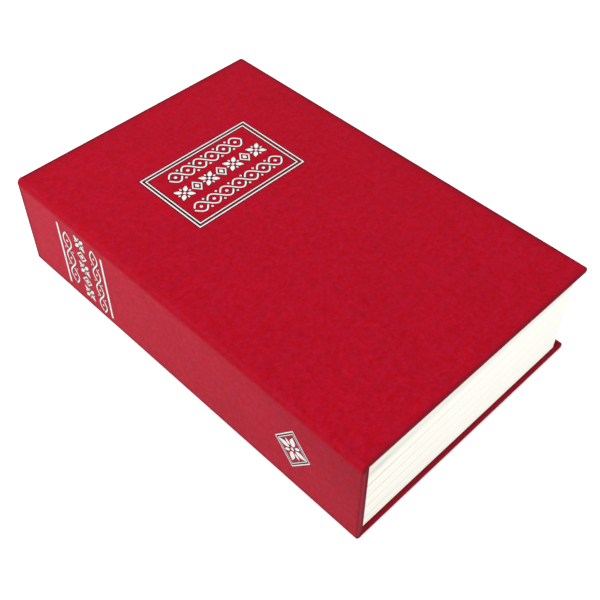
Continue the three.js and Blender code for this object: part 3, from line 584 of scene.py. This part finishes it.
def leaf_lines(around, level, x, depth):
    """How far the page block's wall is pressed in: each leaf line is a bell curve about a level that rises to
    the fore edge and wanders by slow sine waves along the wall. The gathers' lines, given as level, width and
    strength, fade from the spine outwards. The lines of single leaves are finer."""
    draws = np.random.default_rng(11)
    gathers = (
        # The wide gathers at 44.8 and 53.2 are painted shade under the front cover, and are pressed in a
        # little too.
        (10.5, 0.95, 0.36), (14.6, 0.35, 0.26), (19.0, 0.50, 0.78), (23.1, 0.32, 0.22), (26.6, 0.50, 0.88),
        (30.8, 0.42, 0.50), (34.0, 0.30, 0.20), (36.3, 0.58, 1.00), (40.2, 0.32, 0.18), (44.8, 2.60, 0.62),
        (50.8, 0.60, 0.25), (53.2, 1.80, 0.30),
    )
    past = x - PAGES_LOW[0] - 15.0
    fade = 0.05 + 0.95 * np.exp(-np.maximum(past, 0) / 48)
    rise = 0.044 * past
    pressed = np.zeros(np.broadcast(around, level).shape)
    for place, width, share in gathers:
        phase = draws.uniform(0, 2 * math.pi, 3)
        wander = 0.14 * np.sin(around / 41 + phase[0]) + 0.08 * np.sin(around / 17 + phase[1])
        uneven = 0.82 + 0.18 * np.sin(around / 11 + phase[2]) * np.sin(around / 4.3 + phase[0])
        pressed += share * depth * fade * uneven * np.exp(-(((level - place - rise - wander) / width) ** 2))
    for place in np.arange(PAGES_LOW[2] + 0.9, PAGES_HIGH[2] - 0.6, 0.93):
        phase = draws.uniform(0, 2 * math.pi, 2)
        share = draws.uniform(0.02, 0.11) * (0.6 + 0.4 * np.sin(around / 29 + phase[1]))
        wander = draws.uniform(-0.2, 0.2) + 0.06 * np.sin(around / 23 + phase[0])
        pressed += share * depth * np.exp(-(((level - place - wander) / 0.2) ** 2))
    return np.minimum(pressed, depth)


def page_block(sizes):
    """The moulded page frame: rings up the leaf-lined outer wall, over the rim, down the cavity's wall, in
    along the ledge and out under it, closed on themselves. The spine's side is lower, for the hinge, and the
    head's and the tail's faces stand a little proud."""
    wall, spine_wall, ledge, floor = 2.2, 1.6, 14.0, PAGES_LOW[2]
    ledge_top, notch_top, top = floor + 4.0, LEAF_FOOT, PAGES_HIGH[2]
    left, right, half, proud = PAGES_LOW[0], PAGES_HIGH[0], PAGES_HIGH[1], 0.6
    corner, ease, notch_half, step, clear = sizes["page_corner"], 0.35, 60, 0.04, 0.12
    outer = np.linspace(floor + ease, top - ease, 286)
    rows = [(0.0, 0.0, z) for z in outer]
    rows += [(ease * near, 0.0, top - ease * (1 - far)) for far, near in quarter(4)]
    rows += [(wall - ease, spine_wall - ease, top)]
    rows += [
        (wall - ease * (1 - far), spine_wall - ease * (1 - far), top - ease * near)
        for far, near in quarter(4)
    ]
    rows += [
        (wall, spine_wall, ledge_top + 0.5),
        (wall + 0.5, spine_wall + 0.5, ledge_top),
        (wall + ledge, spine_wall + ledge, ledge_top),
        (wall + ledge, spine_wall + ledge, floor),
        (ease, ease, floor),
    ]
    fore, ends, spine, arc = 58, 38, 6, 7
    sides = (even(fore), even(ends), even(spine), even(ends))
    first = arc + fore + arc + ends + 2
    spine_side = slice(first, first + spine)
    rings = []
    for inset, spine_inset, z in rows:
        radius = corner if inset > wall + 1 else max(corner - inset, 0.8 if inset >= wall else 0.3)
        reach = half - inset + (proud if inset < wall - ease else 0)
        ring = rounded_ring(left + spine_inset, right - inset, reach, (radius, 0.05), sides)
        edge = min(half - wall, half - inset - clear)
        ring[spine_side, 1] = (edge, edge - step, notch_half, -notch_half, step - edge, -edge)
        levels = np.full(len(ring), z)
        lowered = slice(spine_side.start + 1, spine_side.stop - 1)
        if z > ledge_top:
            levels[lowered] = ledge_top + (z - ledge_top) * (notch_top - ledge_top) / (top - ledge_top)
        rings.append(at_level(ring, levels))
    rings = np.array(rings)
    walls = rings[:len(outer)]
    inner = rounded_ring(left, right - 1, half + proud - 1, (corner - 1, 0.05), sides)
    inner[spine_side, 1] = walls[0, spine_side, 1]
    inward = inner - walls[0, :, :2]
    steps = np.linalg.norm(np.diff(walls[0, :, :2], axis=0, prepend=walls[0, :1, :2]), axis=1)
    pressed = leaf_lines(np.cumsum(steps)[None, :], walls[:, :, 2], walls[:, :, 0], sizes["leaf_depth"])
    walls[:, :, :2] += inward[None] * pressed[:, :, None]
    marks = np.zeros(rings.shape[:2])
    marks[:len(outer)] = pressed / sizes["leaf_depth"]
    return lofted(rings, rows_close=True), marks.ravel()


# Foil ornament, drawn flat as U along a row and V across it


def rosette(outline, out, first=0):
    """Four copies of an outline, moved out from the centre and turned by quarter turns from a first angle."""
    turns = np.radians(first + np.array([0, 90, 180, 270]))
    return [(outline + [out, 0]) @ [(cos, sin), (-sin, cos)] for cos, sin in rays(turns)]


def leaf_outline(length, width):
    """A pointed leaf along U: half the width times the sine of the way along it, out on one side and back on
    the other."""
    along = np.linspace(0, 1, 9)
    bulge = width / 2 * np.sin(math.pi * along ** 0.8)
    upper = np.stack([along * length, bulge], axis=-1)
    lower = np.stack([along[-2:0:-1] * length, -bulge[-2:0:-1]], axis=-1)
    return np.concatenate([upper, lower])


def disc_outline(radius, sides=14):
    """A circle: radius times cosine and sine."""
    turn = np.linspace(0, 2 * math.pi, sides, endpoint=False)
    return radius * rays(turn)


def lozenge_outline(width, height):
    """A rhombus on its point."""
    return np.array([(width / 2, 0), (0, height / 2), (-width / 2, 0), (0, -height / 2)])


def lozenge_line(wide, tall, thin):
    """A lozenge drawn as a line: two bent bars, each with its inner edge at a share of its outer one."""
    half = np.array([(wide / 2, 0), (0, tall / 2), (-wide / 2, 0)])
    bar = np.concatenate([half, (half * thin)[::-1]])
    return [bar, bar * [1, -1]]


def ribbon_outline(line, width):
    """A line with a width: its points moved half the width to one side, and back along the other."""
    run = np.gradient(line, axis=0)
    across = np.stack([-run[:, 1], run[:, 0]], axis=-1) / np.linalg.norm(run, axis=1)[:, None]
    return np.concatenate([line + across * width / 2, (line - across * width / 2)[::-1]])


def braid_row(length, height, stroke, eyes):
    """A braid of two strands, a sine wave and its mirror image. A strand runs unbroken over every other
    crossing and stops short of the ones between. Each eye of the braid holds a bead, and a small lozenge
    stands on both sides of each crossing."""
    pitch = length / eyes
    swing, gap = (height - stroke) / 2, 0.9 * stroke
    bead, small, edge = height * 0.105, height * 0.19, height / 2 - height * 0.07
    outlines = []
    for strand in (0, 1):
        for first in range(strand - 1, eyes, 2):
            begin, end = max(first, 0), min(first + 2, eyes)
            start = begin * pitch + (gap if first >= 0 else 0)
            stop = end * pitch - (gap if end < eyes else 0)
            u = np.linspace(start, stop, 25)
            wave = np.sin(math.pi * u / pitch) * (1 if strand else -1)
            outlines.append(ribbon_outline(np.stack([u - length / 2, swing * wave], axis=-1), stroke))
    outlines += [disc_outline(bead) + [(i + 0.5) * pitch - length / 2, 0] for i in range(eyes)]
    return outlines + [
        lozenge_outline(small, small) + [i * pitch - length / 2, side * edge]
        for i in range(1, eyes) for side in (1, -1)
    ]


def flower_row(length, height, stroke, count):
    """Flowers of four leaves with a round middle and a tip between every two leaves, and between the flowers
    a lozenge drawn as a line with a solid one in it."""
    pitch, tall = length / count, height * 0.86
    flower = rosette(leaf_outline(height * 0.47, height * 0.25), height * 0.12, 45)
    flower += rosette(lozenge_outline(height * 0.2, height * 0.13), height * 0.34)
    flower += [disc_outline(height * 0.085)]
    lozenge = lozenge_line(pitch * 0.82, tall, 1 - 2.6 * stroke / tall)
    lozenge += [lozenge_outline(pitch * 0.3, height * 0.34)]
    return [
        outline + [(i + 0.5) * pitch - length / 2, 0]
        for i in range(count) for outline in (lozenge if i % 2 else flower)
    ]


def grown(outline, by):
    """An outline with each point moved out along the middle of its two edges' normals, further at a sharper
    corner, up to 1.6 times."""
    edge = np.roll(outline, -1, axis=0) - outline
    normal = np.stack([edge[:, 1], -edge[:, 0]], axis=-1) / np.linalg.norm(edge, axis=1)[:, None]
    x, y = outline.T
    if x @ np.roll(y, -1) < y @ np.roll(x, -1):
        normal = -normal
    both = normal + np.roll(normal, 1, axis=0)
    both = both / np.maximum(np.linalg.norm(both, axis=1), 1e-6)[:, None]
    lean = np.sum(both * normal, axis=1)[:, None]
    return outline + by * both / np.maximum(lean, 0.62)


def stamped(outline, face, foil):
    """A piece of foil pressed into the paper: its outline from under the paper to the foil's height, round it
    a thin rim of pressed paper, and the mark on the rim, which paints its shade."""
    rim = 0.38
    edge = grown(outline, rim)
    rings = [(edge, face - 0.02), (edge, face + 0.004), (outline, face + 0.012), (outline, face + foil)]
    marks = np.repeat([0.3, 0.3, 1.0, 0.0], len(outline))
    return lofted(np.stack([at_level(ring, z) for ring, z in rings])), marks


def frame_band(left, right, low, high, width, face, foil):
    """A rectangular frame line of foil: a section carried round the four corners, with a rim of pressed paper
    on both of its sides, marked for painted shade."""
    rim = 0.58
    around = np.array([(right, low), (right, high), (left, high), (left, low)])
    slant = np.array([(-1, 1), (-1, -1), (1, -1), (1, 1)])
    side = [(-rim, -0.02, 0.4), (-rim, 0.004, 0.4), (0, 0.012, 1), (0, foil, 0)]
    section = side + [(width - inset, rise, mark) for inset, rise, mark in side[::-1]]
    rings = [at_level(around + slant * inset, face + rise) for inset, rise, _ in section]
    return lofted(np.array(rings), rows_close=True), np.repeat([mark for *_, mark in section], 4)


def device_outlines(wide, tall):
    """A binder's lozenge: a double line round a flower of four leaves and four small leaves between them."""
    outlines = lozenge_line(wide, tall, 0.93) + lozenge_line(wide * 0.84, tall * 0.84, 0.945)
    outlines += rosette(leaf_outline(wide * 0.25, wide * 0.12), wide * 0.06)
    outlines += rosette(leaf_outline(wide * 0.15, wide * 0.065), wide * 0.08, 45)
    return outlines + [disc_outline(wide * 0.036)]


def together(pieces):
    """Shapes with their marks as one shape and one row of marks."""
    return merged([shape for shape, _ in pieces]), np.concatenate([marks for _, marks in pieces])


def title_foil(sizes):
    """The cover's double rule with three rows of ornament inside it."""
    foil = sizes["foil"]
    pieces = [
        frame_band(-34.05, 37.1, 27.2, 74.45, 0.75, THICKNESS, foil),
        frame_band(-32.13, 34.73, 29.37, 72.33, 0.68, THICKNESS, foil),
    ]
    rows = (
        (braid_row(49, 8.8, 0.9, 6), (1.6, 64.2)),
        (flower_row(57, 9.8, 0.9, 7), (1.3, 51.8)),
        (braid_row(59, 8.4, 0.9, 7), (1.7, 38.5)),
    )
    pieces += [stamped(outline + at, THICKNESS, foil) for outlines, at in rows for outline in outlines]
    return together(pieces)


def spine_foil(sizes):
    """The spine's two rules, three rows of ornament between them and the device near the tail, drawn with U
    up the spine's width and V along the book, and then stood on the spine's face."""
    rule = np.array([(-21.6, -0.8), (21.6, -0.8), (21.6, 0.8), (-21.6, 0.8)])
    rows = (
        ([rule], (28.8, 87.1)),
        ([rule], (28.1, 51.3)),
        (braid_row(36.7, 7.4, 0.95, 3), (29.6, 80.6)),
        (flower_row(44.8, 9.4, 0.9, 5), (29.6, 69.2)),
        (braid_row(44.8, 6.6, 0.95, 4), (28.1, 58.0)),
        (device_outlines(27.8, 21.7), (29.5, -80.7)),
    )
    pieces = [stamped(outline + at, 0.0, sizes["foil"]) for outlines, at in rows for outline in outlines]
    (points, quads, ends), marks = together(pieces)
    stood = np.column_stack([-HALF_WIDTH - points[:, 2], points[:, 1], points[:, 0]])
    return outward(stood, quads, ends), marks


# The steel box, its lid and the lock


def box_shell(sizes):
    """The folded box: rings from the middle of its base, round the bend, up the wall, over the rim and back
    down the inside to the middle of its floor."""
    sheet, rim, bend, corner, flat = sizes["sheet"], 5.0, 1.1, 1.5, 14.0
    low, high = BOX_LOW[2], BOX_HIGH[2]
    rows = [(flat, low), (bend, low)]
    rows += [(bend * (1 - far), low + bend * near) for far, near in quarter(4)]
    rows += [(0.0, high - bend)]
    rows += [(bend * near, high - bend * (1 - far)) for far, near in quarter(4)]
    rows += [(rim - 0.2, high), (rim, high - 0.2), (rim, high - sheet + 0.1), (rim - 0.1, high - sheet)]
    rows += [(bend, high - sheet)]
    inner = bend - sheet
    rows += [(bend - inner * far, high - sheet - inner * near) for far, near in quarter(3)]
    rows += [(sheet, low + sheet + inner)]
    rows += [(sheet + inner * near, low + sheet + inner * (1 - far)) for far, near in quarter(3)]
    rows += [(flat, low + sheet)]
    sides = (even(10), even(6), even(10), even(6))
    rings = []
    for inset, z in rows:
        radius = corner if inset >= rim - 0.3 else max(corner - inset, 0.3)
        ring = rounded_ring(
            BOX_LOW[0] + inset, BOX_HIGH[0] - inset, BOX_HIGH[1] - inset, (radius, radius), sides, (5, 5)
        )
        rings.append(at_level(ring, z))
    return lofted(np.array(rings))


def about_lock(reach, turn, z):
    """Points about the lock's line: one reach, or a reach for each angle, times the angle's cosine and
    sine."""
    return at_level((LOCK_X, 0) + np.reshape(reach, (-1, 1)) * rays(turn), z)


def tangent_steps(near, span, count):
    """Fractions along a side at which its points, seen from a centre at a distance, are at even angles:
    distance times the tangent of the angle, over the side's length."""
    low, high = span
    angles = np.linspace(math.atan2(low, near), math.atan2(high, near), count + 2)[1:-1]
    return (near * np.tan(angles) - low) / (high - low)


def lid_plate(sizes):
    """The pressed lid: rings up the skirt, over the plate with its raised bead, down into the round dish and
    out again underneath. A ring on the plate is a rounded rectangle, and in the dish it is a circle with its
    points at the rectangle's angles. The hinge's side has no skirt."""
    sheet, bend = sizes["sheet"], 1.0
    left, right, half, foot, top = LID_LOW[0], LID_HIGH[0], LID_HIGH[1], LID_LOW[2], LID_HIGH[2]
    to_right, to_left = right - LOCK_X, LOCK_X - left
    fore, ends, spine, arcs = 30, 38, 16, (5, 1)
    ahead = tangent_steps(to_right, (-half, half), fore)
    along = tangent_steps(half, (-to_left, to_right), ends)
    behind = tangent_steps(to_left, (-half, half), spine)
    sides = (ahead, (1 - along)[::-1], behind, along)
    first = 2 * (arcs[0] + 1) + fore + ends + 1
    hinge_side = slice(first, first + arcs[1] + 1 + spine)

    def plate_ring(inset, z):
        """A rounded rectangle at an inset from the three sides with a skirt. The hinge's side stays level."""
        ring = rounded_ring(left, right - inset, half - inset, (max(1.2 - inset, 0.4), 0.05), sides, arcs)
        levels = np.full(len(ring), z)
        levels[hinge_side] = top - (top - z) * sheet / (top - foot) if z < top - sheet else z
        return at_level(ring, levels)

    def bead_ring(inset, z):
        """A rounded rectangle in from all four sides, and further in from the hinge's."""
        ring = rounded_ring(left + inset + 9.8, right - inset, half - inset, (2.0, 2.0), sides, arcs)
        return at_level(ring, z)

    base = rounded_ring(left, right, half, (1.2, 0.05), sides, arcs)
    turn = np.arctan2(base[:, 1], base[:, 0] - LOCK_X)

    lip, wall, hole, floor = 16.0, 15.0, 9.2, top - 2.4
    dish = [(lip, top)] + [(lip - far, top - near) for far, near in quarter(5)]
    dish += [(wall - near * 0.8, floor + 0.8 * (1 - far)) for far, near in quarter(4)]
    dish += [(hole, floor), (hole, floor - sheet), (wall, floor - sheet)]
    dish += [(wall + 0.8, floor), (wall + 0.8, top - sheet - 0.4), (lip + 0.2, top - sheet)]
    bead = ((4.2, 0), (4.6, 0.12), (5.1, 0.32), (5.9, 0.32), (6.4, 0.12), (6.8, 0))
    rings = [plate_ring(0.0, foot), plate_ring(0.0, top - bend)]
    rings += [plate_ring(bend * near, top - bend * (1 - far)) for far, near in quarter(5)]
    rings += [bead_ring(inset, top + rise) for inset, rise in bead]
    rings += [about_lock(radius, turn, level) for radius, level in dish]
    rings += [plate_ring(3.0, top - sheet), plate_ring(sheet + 0.2, top - sheet)]
    rings += [plate_ring(sheet, top - sheet - 0.2), plate_ring(sheet, foot)]
    return lofted(np.array(rings), rows_close=True)


def lock_shell():
    """The lock's body turned about its own line: barrel, flange with a rolled edge, and a seat for the
    plug."""
    foot, seat = LOCK_LOW[2], LOCK_HIGH[2] - 2.0
    bore, barrel, flange, roll = 6.12, 9.0, 11.0, 1.3
    profile = [(bore, foot), (barrel - 0.3, foot), (barrel, foot + 0.3), (barrel, seat), (flange, seat)]
    profile += [(flange, seat + 0.7)]
    profile += [(flange - roll * near, seat + 0.7 + roll * far) for far, near in quarter(8)]
    profile += [(7.25, seat + 2.0), (7.05, seat + 1.85), (7.0, seat + 0.78), (bore, seat + 0.78)]
    turn = np.linspace(0, 2 * math.pi, 96, endpoint=False)
    return lofted(np.array([about_lock(radius, turn, level) for radius, level in profile]), rows_close=True)


def plug_core():
    """The plug as rings at the same angles about the lock's line: the cam's square, the barrel, the collar's
    face and the keyway's slot. A square's or slot's reach at an angle is the smaller of its half sides over
    the angle's cosine and sine."""
    face, square_end, barrel_end = PLUG_HIGH[2], PLUG_LOW[2], LOCK_LOW[2]
    cam, barrel, collar, slot_long, slot_wide, bevel = 3.0, 6.0, 6.8, 3.75, 0.7, 0.25
    corner = math.atan2(slot_wide, slot_long)
    turn = np.concatenate([
        np.linspace(0, 2 * math.pi, 96, endpoint=False),
        [corner, math.pi - corner, math.pi + corner, 2 * math.pi - corner],
    ])
    turn = np.unique(np.round(turn, 6))
    cosine = np.maximum(np.abs(np.cos(turn)), 1e-9)
    sine = np.maximum(np.abs(np.sin(turn)), 1e-9)

    def shape_reach(half_long, half_wide):
        """How far a rectangle reaches at each angle."""
        return np.minimum(half_long / cosine, half_wide / sine)

    square, slot = shape_reach(cam, cam), shape_reach(slot_long, slot_wide)
    lip = shape_reach(slot_long + bevel, slot_wide + bevel)
    rows = (
        (square, square_end), (square, barrel_end), (barrel, barrel_end), (barrel, face - 1.1),
        (collar, face - 1.1), (collar, face - 0.25), (collar - 0.1, face - 0.08), (collar - 0.3, face),
        (lip, face), (slot, face - 0.2), (slot, face - 14.0),
    )
    return lofted(np.array([about_lock(reach, turn, z) for reach, z in rows]))


# Operators


def in_millimetres(context):
    """The size properties as a table in millimetres."""
    group = context.scene.book_safe_sizes
    return {name: getattr(group, name) / MM for name in BookSafeSizes.__annotations__}


class BOOKSAFE_OT_finishes(bpy.types.Operator):
    """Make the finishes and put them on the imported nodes."""

    bl_idname = "book_safe.finishes"
    bl_label = "Finishes"

    def execute(self, context):
        made = make_finishes(context.scene.book_safe_colours)
        context.scene["book_safe_finishes"] = {slot: material.name for slot, material in made.items()}
        for row in frame["record"]["subparts"]:
            materials = frame["nodes"][row["node"]].data.materials
            materials.clear()
            materials.append(made[row["material_slot"]])
        return {"FINISHED"}


class BOOKSAFE_OT_covers(bpy.types.Operator):
    """Paper the front and back boards."""

    bl_idname = "book_safe.covers"
    bl_label = "Covers"

    def execute(self, context):
        sizes = in_millimetres(context)
        front = add_piece("front_cover_paper", "covering", *cover_panel(sizes, THICKNESS, -1, 0.15, 0.0))
        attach(front, "front_cover")
        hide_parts("front_covering")
        # The back cover's turned-in paper carries more painted shade than the front's, full at the foot of the
        # page block.
        back = add_piece("back_cover_paper", "covering", *cover_panel(sizes, 0.0, 1, 0.45, 1.0))
        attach(back, "safe_body")
        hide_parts("back_covering")
        return {"FINISHED"}


class BOOKSAFE_OT_spine(bpy.types.Operator):
    """Paper the spine and carry the paper round both of its folds."""

    bl_idname = "book_safe.spine"
    bl_label = "Spine and folds"

    def execute(self, context):
        sizes = in_millimetres(context)
        spine = add_piece("spine_paper", "covering", *spine_panel(sizes), finish="spine")
        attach(spine, "safe_body")
        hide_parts("spine_covering")
        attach(add_piece("spine_turn_ins", "covering", *spine_turn_ins()), "safe_body")
        # The back fold carries painted shade towards the table.
        fold = add_piece("back_fold_paper", "covering", *fold_strip(sizes, 0.0, -1, 0.0, 0.5))
        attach(fold, "safe_body")
        run = THICKNESS - BEND - SPINE_HIGH[2]
        fold = add_piece("front_fold_paper", "covering", *fold_strip(sizes, THICKNESS, 1, run, 0.0))
        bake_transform(fold)
        return {"FINISHED"}


class BOOKSAFE_OT_page_block(bpy.types.Operator):
    """Mould the page block with its leaf lines."""

    bl_idname = "book_safe.page_block"
    bl_label = "Page block"

    def execute(self, context):
        block = add_piece("page_block", "page_plastic", *page_block(in_millimetres(context)))
        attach(block, "safe_body")
        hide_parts("page_frame")
        return {"FINISHED"}


class BOOKSAFE_OT_ornament(bpy.types.Operator):
    """Stamp the foil ornament on the front cover and the spine."""

    bl_idname = "book_safe.ornament"
    bl_label = "Foil ornament"

    def execute(self, context):
        sizes = in_millimetres(context)
        title = add_piece("title_foil", "covering", *title_foil(sizes), finish="foil")
        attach(title, "front_cover")
        spine = add_piece("spine_foil", "covering", *spine_foil(sizes), finish="foil")
        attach(spine, "safe_body")
        return {"FINISHED"}


class BOOKSAFE_OT_box(bpy.types.Operator):
    """Fold the steel box and press its lid."""

    bl_idname = "book_safe.box"
    bl_label = "Box and lid"

    def execute(self, context):
        sizes = in_millimetres(context)
        box = add_piece("box_shell", "box_paint", box_shell(sizes))
        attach(box, "safe_body")
        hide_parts("box_tray")
        lid = add_piece("lid_plate", "box_paint", lid_plate(sizes))
        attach(lid, "lid")
        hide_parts("lid_panel")
        return {"FINISHED"}


class BOOKSAFE_OT_lock(bpy.types.Operator):
    """Turn the lock's body and its plug."""

    bl_idname = "book_safe.lock"
    bl_label = "Lock"

    def execute(self, context):
        body = add_piece("lock_shell", "lock_chrome", lock_shell())
        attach(body, "lid")
        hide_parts("lock_housing")
        plug = add_piece("lock_core_plug", "lock_chrome", plug_core())
        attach(plug, "lock_core")
        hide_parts("lock_plug")
        return {"FINISHED"}


# The stage


def stood_at(axes, place):
    """The matrix of an object whose own axes point as given and that stands at a place."""
    return Matrix([(*row, where) for row, where in zip(np.array(axes).T, place)] + [(0, 0, 0, 1)])


def add_lamp(name, place, power):
    """A square soft lamp that faces the middle of the book."""
    lamp = bpy.data.lights.new(name, "AREA")
    lamp.shape = "SQUARE"
    lamp.size = 0.5
    lamp.energy = power
    middle = (0, 0, 0.03)
    back = np.array(place) - middle
    back = back / np.linalg.norm(back)
    side = np.cross((0, 0, 1), back)
    side = side / np.linalg.norm(side)
    new_object(name, lamp).matrix_world = stood_at([side, np.cross(back, side), back], place)


def white_to_the_eye(kit, lit, white, output):
    """Sends the white shader to the camera and to what metal and glass show, and the lit one to all
    others."""
    rays_seen = kit.add("LightPath", {}).outputs
    seen = rays_seen["Is Camera Ray"]
    for name in ("Is Glossy Ray", "Is Transmission Ray"):
        seen = kit.add("Math", {0: seen, 1: rays_seen[name]}, operation="MAXIMUM").outputs[0]
    mix = kit.add("MixShader", {0: seen, 1: lit, 2: white})
    kit.add(output, {"Surface": mix.outputs[0]})


class BOOKSAFE_OT_stage(bpy.types.Operator):
    """Set the pale floor, the soft lamps, the world and the camera."""

    bl_idname = "book_safe.stage"
    bl_label = "Stage"

    def execute(self, context):
        scene = context.scene
        scene.view_settings.view_transform = "Standard"
        self.floor()
        self.world(scene)
        add_lamp("key_lamp", (-0.59, 0.52, 0.80), 5.6)
        add_lamp("fill_lamp", (0.16, -1.16, 0.31), 5.3)
        self.camera(scene)
        return {"FINISHED"}

    def floor(self):
        """A plain pale disc: dull white under the lamps, with a share of its own white where it is looked
        at."""
        radius, sides, drop = 4, 64, 0.0002
        turn = np.linspace(0, 2 * math.pi, sides, endpoint=False)
        points = at_level(radius * rays(turn), -drop)
        mesh = bpy.data.meshes.new("floor")
        mesh.from_pydata(points, [], [list(range(sides))])
        floor = new_object("floor", mesh)
        material = bpy.data.materials.new("pale_floor")
        kit = Nodes(material)
        kit.tree.nodes.clear()
        dull = kit.add("BsdfDiffuse", {"Color": (0.80, 0.80, 0.80)}).outputs[0]
        glow = kit.add("Emission", {"Strength": 0.56}).outputs[0]
        white_to_the_eye(kit, dull, kit.add("AddShader", {0: dull, 1: glow}).outputs[0], "OutputMaterial")
        mesh.materials.append(material)

    def world(self, scene):
        """An even pale light from all round, and plain white where it is looked at."""
        scene.world = bpy.data.worlds.new("studio")
        kit = Nodes(scene.world)
        kit.tree.nodes.clear()
        light = kit.add("Background", {"Color": (1, 1, 1), "Strength": 0.57}).outputs[0]
        white = kit.add("Background", {"Color": (1, 1, 1), "Strength": 1.0}).outputs[0]
        white_to_the_eye(kit, light, white, "OutputWorld")

    def camera(self, scene):
        """The camera stands at the spine and tail side, turned and tilted by the angles below. Its focal
        length is in pixels of a picture 600 pixels wide."""
        turn, tilt, roll = (math.radians(x) for x in (45.10, 48.16, -0.43))
        focal, picture, sensor = 929.78, 600, 36
        east, north = math.sin(turn), math.cos(turn)
        forward = np.array([east * math.cos(tilt), north * math.cos(tilt), -math.sin(tilt)])
        level = np.array([north, -east, 0.0])
        down = np.cross(forward, level)
        right = math.cos(roll) * level + math.sin(roll) * down
        below = -math.sin(roll) * level + math.cos(roll) * down
        data = bpy.data.cameras.new("view")
        data.sensor_width = sensor
        data.lens = focal / picture * sensor
        data.clip_start = 0.01
        data.clip_end = 50
        camera = new_object("view", data)
        place = np.array([-230.63, -237.23, 370.30]) * MM
        camera.matrix_world = stood_at([right, -below, -forward], place)
        scene.camera = camera


class BOOKSAFE_PT_panel(bpy.types.Panel):
    """Lists the steps that dress the book safe."""

    bl_label = "Book Safe"
    bl_space_type = "VIEW_3D"
    bl_region_type = "UI"
    bl_category = "Book Safe"

    def draw(self, context):
        for step in STEPS:
            self.layout.operator(step.bl_idname)
        for group in (context.scene.book_safe_sizes, context.scene.book_safe_colours):
            box = self.layout.box()
            for name in type(group).__annotations__:
                box.prop(group, name)


STEPS = (
    BOOKSAFE_OT_finishes,
    BOOKSAFE_OT_covers,
    BOOKSAFE_OT_spine,
    BOOKSAFE_OT_page_block,
    BOOKSAFE_OT_ornament,
    BOOKSAFE_OT_box,
    BOOKSAFE_OT_lock,
    BOOKSAFE_OT_stage,
)
CLASSES = (BookSafeSizes, BookSafeColours, *STEPS, BOOKSAFE_PT_panel)


def register():
    for item in CLASSES:
        bpy.utils.register_class(item)
    bpy.types.Scene.book_safe_sizes = bpy.props.PointerProperty(type=BookSafeSizes)
    bpy.types.Scene.book_safe_colours = bpy.props.PointerProperty(type=BookSafeColours)


def unregister():
    del bpy.types.Scene.book_safe_colours
    del bpy.types.Scene.book_safe_sizes
    for item in reversed(CLASSES):
        bpy.utils.unregister_class(item)


def main():
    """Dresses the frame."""
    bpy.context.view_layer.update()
    register()
    bpy.ops.book_safe.finishes()
    bpy.ops.book_safe.covers()
    bpy.ops.book_safe.spine()
    bpy.ops.book_safe.page_block()
    bpy.ops.book_safe.ornament()
    bpy.ops.book_safe.box()
    bpy.ops.book_safe.lock()
    bpy.ops.book_safe.stage()


if __name__ == "__main__":
    main()
